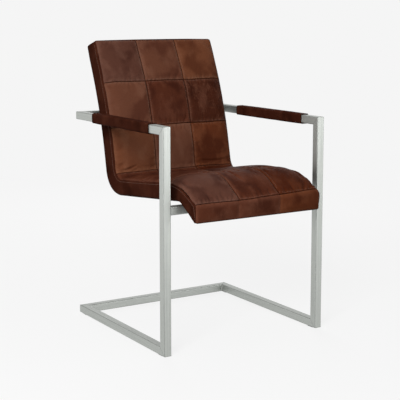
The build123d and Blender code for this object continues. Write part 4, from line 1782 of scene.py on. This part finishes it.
@dataclass
class ArmSleeve:
    """Leather sleeve that is wrapped round an arm tube over thin wadding."""

    name: str
    side: float
    ring_points: int = 72
    stations: int = 90
    corner: float = 0.0062
    least_corner: float = 0.0015
    end_slope: float = 0.0022
    end_steps: int = 6
    lip: float = 0.0026
    lip_depths: Range = (0.0050, 0.0004)
    bulge: float = 0.0007
    bulge_power: int = 6
    waver: float = 0.0005
    waver_power: int = 8
    waver_scale: float = 30.0
    waver_seed: float = 3.3
    seam_start: float = 0.8
    end_start: float = 1.2
    thickness: float = 0.0008
    fill: float = 0.8

    def ring(self, half: float, corner: float) -> Array:
        """Rounded square outline, begun at its upper corner towards +X.

        Args:
            half: Half of the square's width.
            corner: Radius of its corners.

        Returns:
            Points (x, z) round the outline, the first one repeated at the end.
        """
        flat = half - corner
        quarter = math.pi / 2 * corner
        total = 8 * flat + 4 * quarter
        points = []
        for step in range(self.ring_points + 1):
            travel = (step / self.ring_points * total + flat + quarter / 2 + flat) % total
            side_index, rest = divmod(travel, 2 * flat + quarter)
            if rest <= 2 * flat:
                local = np.array([half, rest - flat])
            else:
                angle = (rest - 2 * flat) / corner
                local = np.array([flat + corner * math.cos(angle), flat + corner * math.sin(angle)])
            turn = side_index * math.pi / 2
            points.append([local[0] * math.cos(turn) - local[1] * math.sin(turn),
                           local[0] * math.sin(turn) + local[1] * math.cos(turn)])
        return np.array(points)

    def build(self) -> None:
        """Makes the sleeve where its solid node is."""
        low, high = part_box(f"{self.name}_arm_sleeve")
        middle = (low + high) / 2
        half = (high.x - low.x) / 2
        length = high.y - low.y
        start = self._end_sections()
        inner = [(y, 0.0) for y in np.linspace(start[-1][0], length - start[-1][0], self.stations)[1:-1]]
        sections = [*start, *inner, *[(length - y, inset) for y, inset in start[::-1]]]
        rows = []
        for y, inset in sections:
            ring = self.ring(half - inset, max(self.corner - inset, self.least_corner))
            depth = np.full(len(ring), low.y + y)
            rows.append(np.stack([middle.x + ring[:, 0], depth, middle.z + ring[:, 1]], axis=-1))
        points = np.array(rows)
        out = points - np.array([middle.x, 0.0, middle.z])
        out[..., 1] = 0.0
        out /= np.linalg.norm(out, axis=-1, keepdims=True)
        shares = np.clip(np.array([y for y, _ in sections]) / length, 0.0, 1.0)
        off_middle = np.abs(2 * shares - 1)[:, None]
        waver = self.waver * unevenness(points, self.waver_scale, self.waver_seed + self.side)
        rise = self.bulge * (1 - off_middle ** self.bulge_power)
        rise = rise + waver * (1 - off_middle ** self.waver_power)
        points = points + out * rise[..., None]
        points[:, -1] = points[:, 0]
        piece, row, column = laid_grid(f"{self.name}_arm_sleeve_leather", points, Vector((0, 0, 1)))
        girth = 8 * half
        seam = np.minimum(column, self.ring_points - column) * (girth / self.ring_points) / MM
        ends = np.minimum(shares, 1 - shares)[row] * length / MM
        mark_seams(piece, np.minimum(seam + self.seam_start, ends + self.end_start))
        mend_mesh(piece, merge=True, outward=True)
        finish_sheet(piece, self.thickness)
        hand_over_plain(piece, [f"{self.name}_arm_sleeve", f"{self.name}_arm_wadding"])

    def _end_sections(self) -> list[tuple[float, float]]:
        """Lists the rings that slope the sleeve's end in, from the inmost one outward.

        Returns:
            Distance from the end and inset of each ring.
        """
        sections = [(depth, self.lip) for depth in self.lip_depths]
        for angle in np.linspace(0.0, math.pi / 2, self.end_steps):
            inset = self.end_slope * (1 - math.sin(angle))
            sections.append((inset, inset))
        return sections


# Steel frame


@dataclass
class SteelFrame:
    """The tubes of the frame, which keep their solid shape, and the weld beads in their inner corners."""

    tube: float = 0.025
    bead: float = 0.0024
    bead_inset: float = 0.0030
    bead_sides: int = 14
    bead_cuts: int = 36
    taper: float = 0.6
    taper_power: int = 10
    ripple: float = 0.16
    ripple_pitch: float = 0.0026
    across: tuple[str, ...] = ("rear_floor_tube", "back_cross_tube", "seat_cross_tube")
    lengthwise: tuple[str, ...] = ("left_runner", "right_runner", "left_arm_tube", "right_arm_tube")
    upright: tuple[str, ...] = ("left_upright", "right_upright")

    def dress(self, nodes: dict[str, bpy.types.Object]) -> None:
        """Gives each tube its brushed finish.

        Args:
            nodes: The solid nodes by name.
        """
        upright_low, upright_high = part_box("left_upright")
        floor_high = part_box("rear_floor_tube")[1]
        arm_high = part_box("back_cross_tube")[1]
        front = upright_low.y
        mitres = MitrePlanes(front, upright_low.z, upright_high.z,
                             floor_high.x - (floor_high.y - front), arm_high.x - (arm_high.y - front))
        groups = {Draw.ACROSS: self.across, Draw.LENGTHWISE: self.lengthwise, Draw.UPRIGHT: self.upright}
        for draw, names in groups.items():
            finish = SteelFinish(draw, mitres, self.tube / 2)
            for name in names:
                dress(nodes[name], finish.material(name))
                LOG.info("%s: brushed steel", name)

    def _bead(self, start: Vector, end: Vector) -> bpy.types.Object:
        """Models one rippled weld bead.

        Args:
            start: Where it starts.
            end: Where it ends.

        Returns:
            The bead.
        """
        run = end - start
        bpy.ops.object.select_all(action="DESELECT")
        bpy.ops.mesh.primitive_cylinder_add(
            vertices=self.bead_sides, radius=self.bead, depth=run.length, end_fill_type="TRIFAN")
        piece = bpy.context.object
        bpy.ops.object.mode_set(mode="EDIT")
        for step in range(1, self.bead_cuts):
            height = run.length * (step / self.bead_cuts - 0.5)
            bpy.ops.mesh.select_all(action="SELECT")
            bpy.ops.mesh.bisect(plane_co=(0, 0, height), plane_no=(0, 0, 1))
        bpy.ops.object.mode_set(mode="OBJECT")
        turn = run.to_track_quat("Z", "Y")
        middle = (start + end) / 2
        for vertex in piece.data.vertices:
            share = vertex.co.z / run.length + 0.5
            wave = abs(math.sin(math.pi * share * run.length / self.ripple_pitch))
            taper = 1 - abs(2 * share - 1) ** self.taper_power * self.taper
            swell = (1 - self.ripple + self.ripple * wave) * taper
            shaped = Vector((vertex.co.x * swell, vertex.co.y * swell, vertex.co.z))
            vertex.co = middle + turn @ shaped
        bpy.ops.object.shade_smooth()
        return piece

    def weld(self) -> None:
        """Lays the beads of both sides, one object for each side."""
        inset = self.bead_inset
        floor, arm, seat = (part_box(tube) for tube in self.across)
        for name, side in SIDES:
            low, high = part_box(f"{name}_upright")
            arm_low = high.z - self.tube
            foot_high = low.z + self.tube
            inner = side * min(abs(low.x), abs(high.x))
            outer = side * max(abs(low.x), abs(high.x))
            runs = [
                ((inner + side * inset, high.y, arm_low), (outer - side * inset, high.y, arm_low)),
                ((inner + side * inset, high.y, foot_high), (outer - side * inset, high.y, foot_high)),
                ((inner, floor[0].y, floor[0].z + inset), (inner, floor[0].y, floor[1].z - inset)),
                ((inner, arm[0].y, arm[0].z + inset), (inner, arm[0].y, arm[1].z - inset)),
                ((inner, seat[0].y + inset, seat[1].z), (inner, seat[1].y - inset, seat[1].z)),
                ((inner, seat[0].y + inset, seat[0].z), (inner, seat[1].y - inset, seat[0].z)),
            ]
            beads = [self._bead(Vector(start), Vector(end)) for start, end in runs]
            bpy.ops.object.select_all(action="DESELECT")
            for bead in beads:
                bead.location = (0, 0, 0)
                bead.select_set(True)
            bpy.context.view_layer.objects.active = beads[0]
            bpy.ops.object.join()
            piece = bpy.context.object
            piece.name = f"{name}_frame_welds"
            piece.data.name = piece.name
            dress(piece, WELD.material())
            hand_over(piece)


@dataclass
class SmallParts:
    """Glides, spacers, bolts, washers, inserts and the hidden plywood, which keep their solid shape."""

    finishes: dict[str, PlainFinish] = field(default_factory=lambda: {
        "_glide": PLASTIC, "_spacers": PLASTIC, "_bolts": ZINC, "_washers": ZINC, "_inserts": BRASS,
        "plywood_shell": PLYWOOD,
    })

    def dress(self, nodes: dict[str, bpy.types.Object]) -> None:
        """Gives each small part its finish.

        Args:
            nodes: The solid nodes by name.
        """
        for name, node in nodes.items():
            for ending, finish in self.finishes.items():
                if name.endswith(ending):
                    dress(node, finish.material())
                    LOG.info("%s: %s", name, finish.name)


# Studio


class Light(Enum):
    """What a lamp lights."""

    ALL = "all surfaces"
    MATT = "matt surfaces only"
    GLOSS = "gloss and metal only"


@dataclass(frozen=True)
class Lamp:
    """A square soft lamp, with its power in watts."""

    name: str
    place: Triple
    size: float
    power: float
    light: Light = Light.ALL


LAMPS = (
    Lamp("key", (-2.6, -2.5, 2.1), 1.7, 141.0),
    Lamp("fill", (1.45, -3.2, 1.15), 1.9, 50.0, Light.GLOSS),
    Lamp("side", (-3.0, 0.6, 0.9), 1.6, 50.0, Light.GLOSS),
    Lamp("rim", (2.0, 3.2, 1.15), 2.1, 3.5, Light.GLOSS),
    Lamp("rear", (1.6, 3.2, 1.9), 2.0, 60.0, Light.MATT),
    Lamp("top", (0.0, 0.2, 3.3), 2.6, 5.0),
)


@dataclass
class Studio:
    """Plain pale floor, soft lamps and the camera."""

    backdrop: float = 0.913
    ambient: float = 0.32
    floor_shade: float = 0.13
    floor_light: float = 0.80
    floor_reach: Range = (1.2, 3.2)
    floor_size: float = 40.0
    target: Vector = field(default_factory=lambda: Vector((0.0, 0.0, 0.48)))
    camera_place: Triple = (-1.7891, -2.8886, 0.9985)
    camera_azimuth: float = -31.845
    camera_elevation: float = 7.868
    camera_lens: float = 96.45
    camera_shift: float = -0.10
    camera_sensor: float = 36.0

    def build(self) -> None:
        """Sets up everything round the chair."""
        self._world()
        self._floor()
        for lamp in LAMPS:
            self._lamp(lamp)
        self._camera()
        bpy.context.scene.view_settings.view_transform = "Standard"

    @staticmethod
    def _seen(graph: Graph) -> bpy.types.NodeSocket:
        """Tells the rays that show a surface from those that only light it.

        Args:
            graph: Graph of the world or of a material.

        Returns:
            1 for rays of the camera, of shine and of glass, 0 for the rest.
        """
        rays = graph.node("ShaderNodeLightPath").outputs
        seen = graph.math("MAXIMUM", rays["Is Camera Ray"], rays["Is Glossy Ray"])
        return graph.math("MAXIMUM", seen, rays["Is Transmission Ray"])

    def _world(self) -> None:
        """Pale surroundings that the camera and shiny metal see, and softer light for the rest."""
        world = bpy.data.worlds.new("studio")
        bpy.context.scene.world = world
        world.use_nodes = True
        graph = Graph(world.node_tree)
        world.node_tree.nodes.clear()
        levels = {0: self._seen(graph), 3: self.ambient, 4: self.backdrop}
        strength = graph.node("ShaderNodeMapRange", levels).outputs[0]
        sky = graph.node("ShaderNodeBackground", {"Color": WHITE, "Strength": strength})
        graph.node("ShaderNodeOutputWorld", {0: sky.outputs[0]})

    def _floor(self) -> None:
        """Pale floor that takes a soft shadow."""
        bpy.ops.object.select_all(action="DESELECT")
        bpy.ops.mesh.primitive_plane_add(size=self.floor_size)
        floor = bpy.context.object
        floor.name = "studio_floor"
        material = bpy.data.materials.new("studio_floor")
        material.use_nodes = True
        graph = Graph(material.node_tree)
        material.node_tree.nodes.clear()
        place = graph.node("ShaderNodeTexCoord").outputs["Object"]
        away = graph.node("ShaderNodeVectorMath", {0: place}, operation="LENGTH").outputs["Value"]
        shade = graph.fit(away, self.floor_reach, (self.floor_shade, 0.0))
        matt = graph.node("ShaderNodeBsdfDiffuse", {"Color": shade})
        level = graph.math("SUBTRACT", self.backdrop, graph.math("MULTIPLY", shade, self.floor_light))
        strength = graph.math("MULTIPLY", self._seen(graph), level)
        glow = graph.node("ShaderNodeEmission", {"Color": WHITE, "Strength": strength})
        both = graph.node("ShaderNodeAddShader", {0: matt.outputs[0], 1: glow.outputs[0]})
        graph.node("ShaderNodeOutputMaterial", {0: both.outputs[0]})
        dress(floor, material)

    def _lamp(self, lamp: Lamp) -> None:
        """Adds a lamp that faces the chair.

        Args:
            lamp: What the lamp is like.
        """
        data = bpy.data.lights.new(lamp.name, "AREA")
        data.energy = lamp.power
        data.size = lamp.size
        piece = bpy.data.objects.new(lamp.name, data)
        piece.location = lamp.place
        piece.visible_camera = False
        piece.visible_diffuse = lamp.light is not Light.GLOSS
        piece.visible_glossy = lamp.light is not Light.MATT
        piece.rotation_euler = (self.target - Vector(lamp.place)).to_track_quat("-Z", "Y").to_euler()
        bpy.context.scene.collection.objects.link(piece)

    def _camera(self) -> None:
        """Adds the camera at the photograph's place."""
        data = bpy.data.cameras.new("camera")
        data.lens = self.camera_lens
        data.sensor_width = self.camera_sensor
        data.shift_y = self.camera_shift
        camera = bpy.data.objects.new("camera", data)
        camera.location = self.camera_place
        pitch = math.radians(90.0 - self.camera_elevation)
        camera.rotation_euler = (pitch, 0.0, math.radians(self.camera_azimuth))
        bpy.context.scene.collection.objects.link(camera)
        bpy.context.scene.camera = camera


def main() -> None:
    """Loads the frame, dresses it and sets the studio."""
    logging.basicConfig(level=logging.INFO, format="%(name)s: %(message)s")
    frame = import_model()
    nodes = frame["nodes"]
    shape = ShellShape(forward=-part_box("left_upright")[0].y)
    steel = SteelFrame()
    steel.dress(nodes)
    steel.weld()
    SmallParts().dress(nodes)
    PatchCover(shape).build()
    PlainCover(shape).build()
    for name, side in SIDES:
        ArmSleeve(name, side).build()
    Studio().build()


if __name__ == "__main__":
    main()
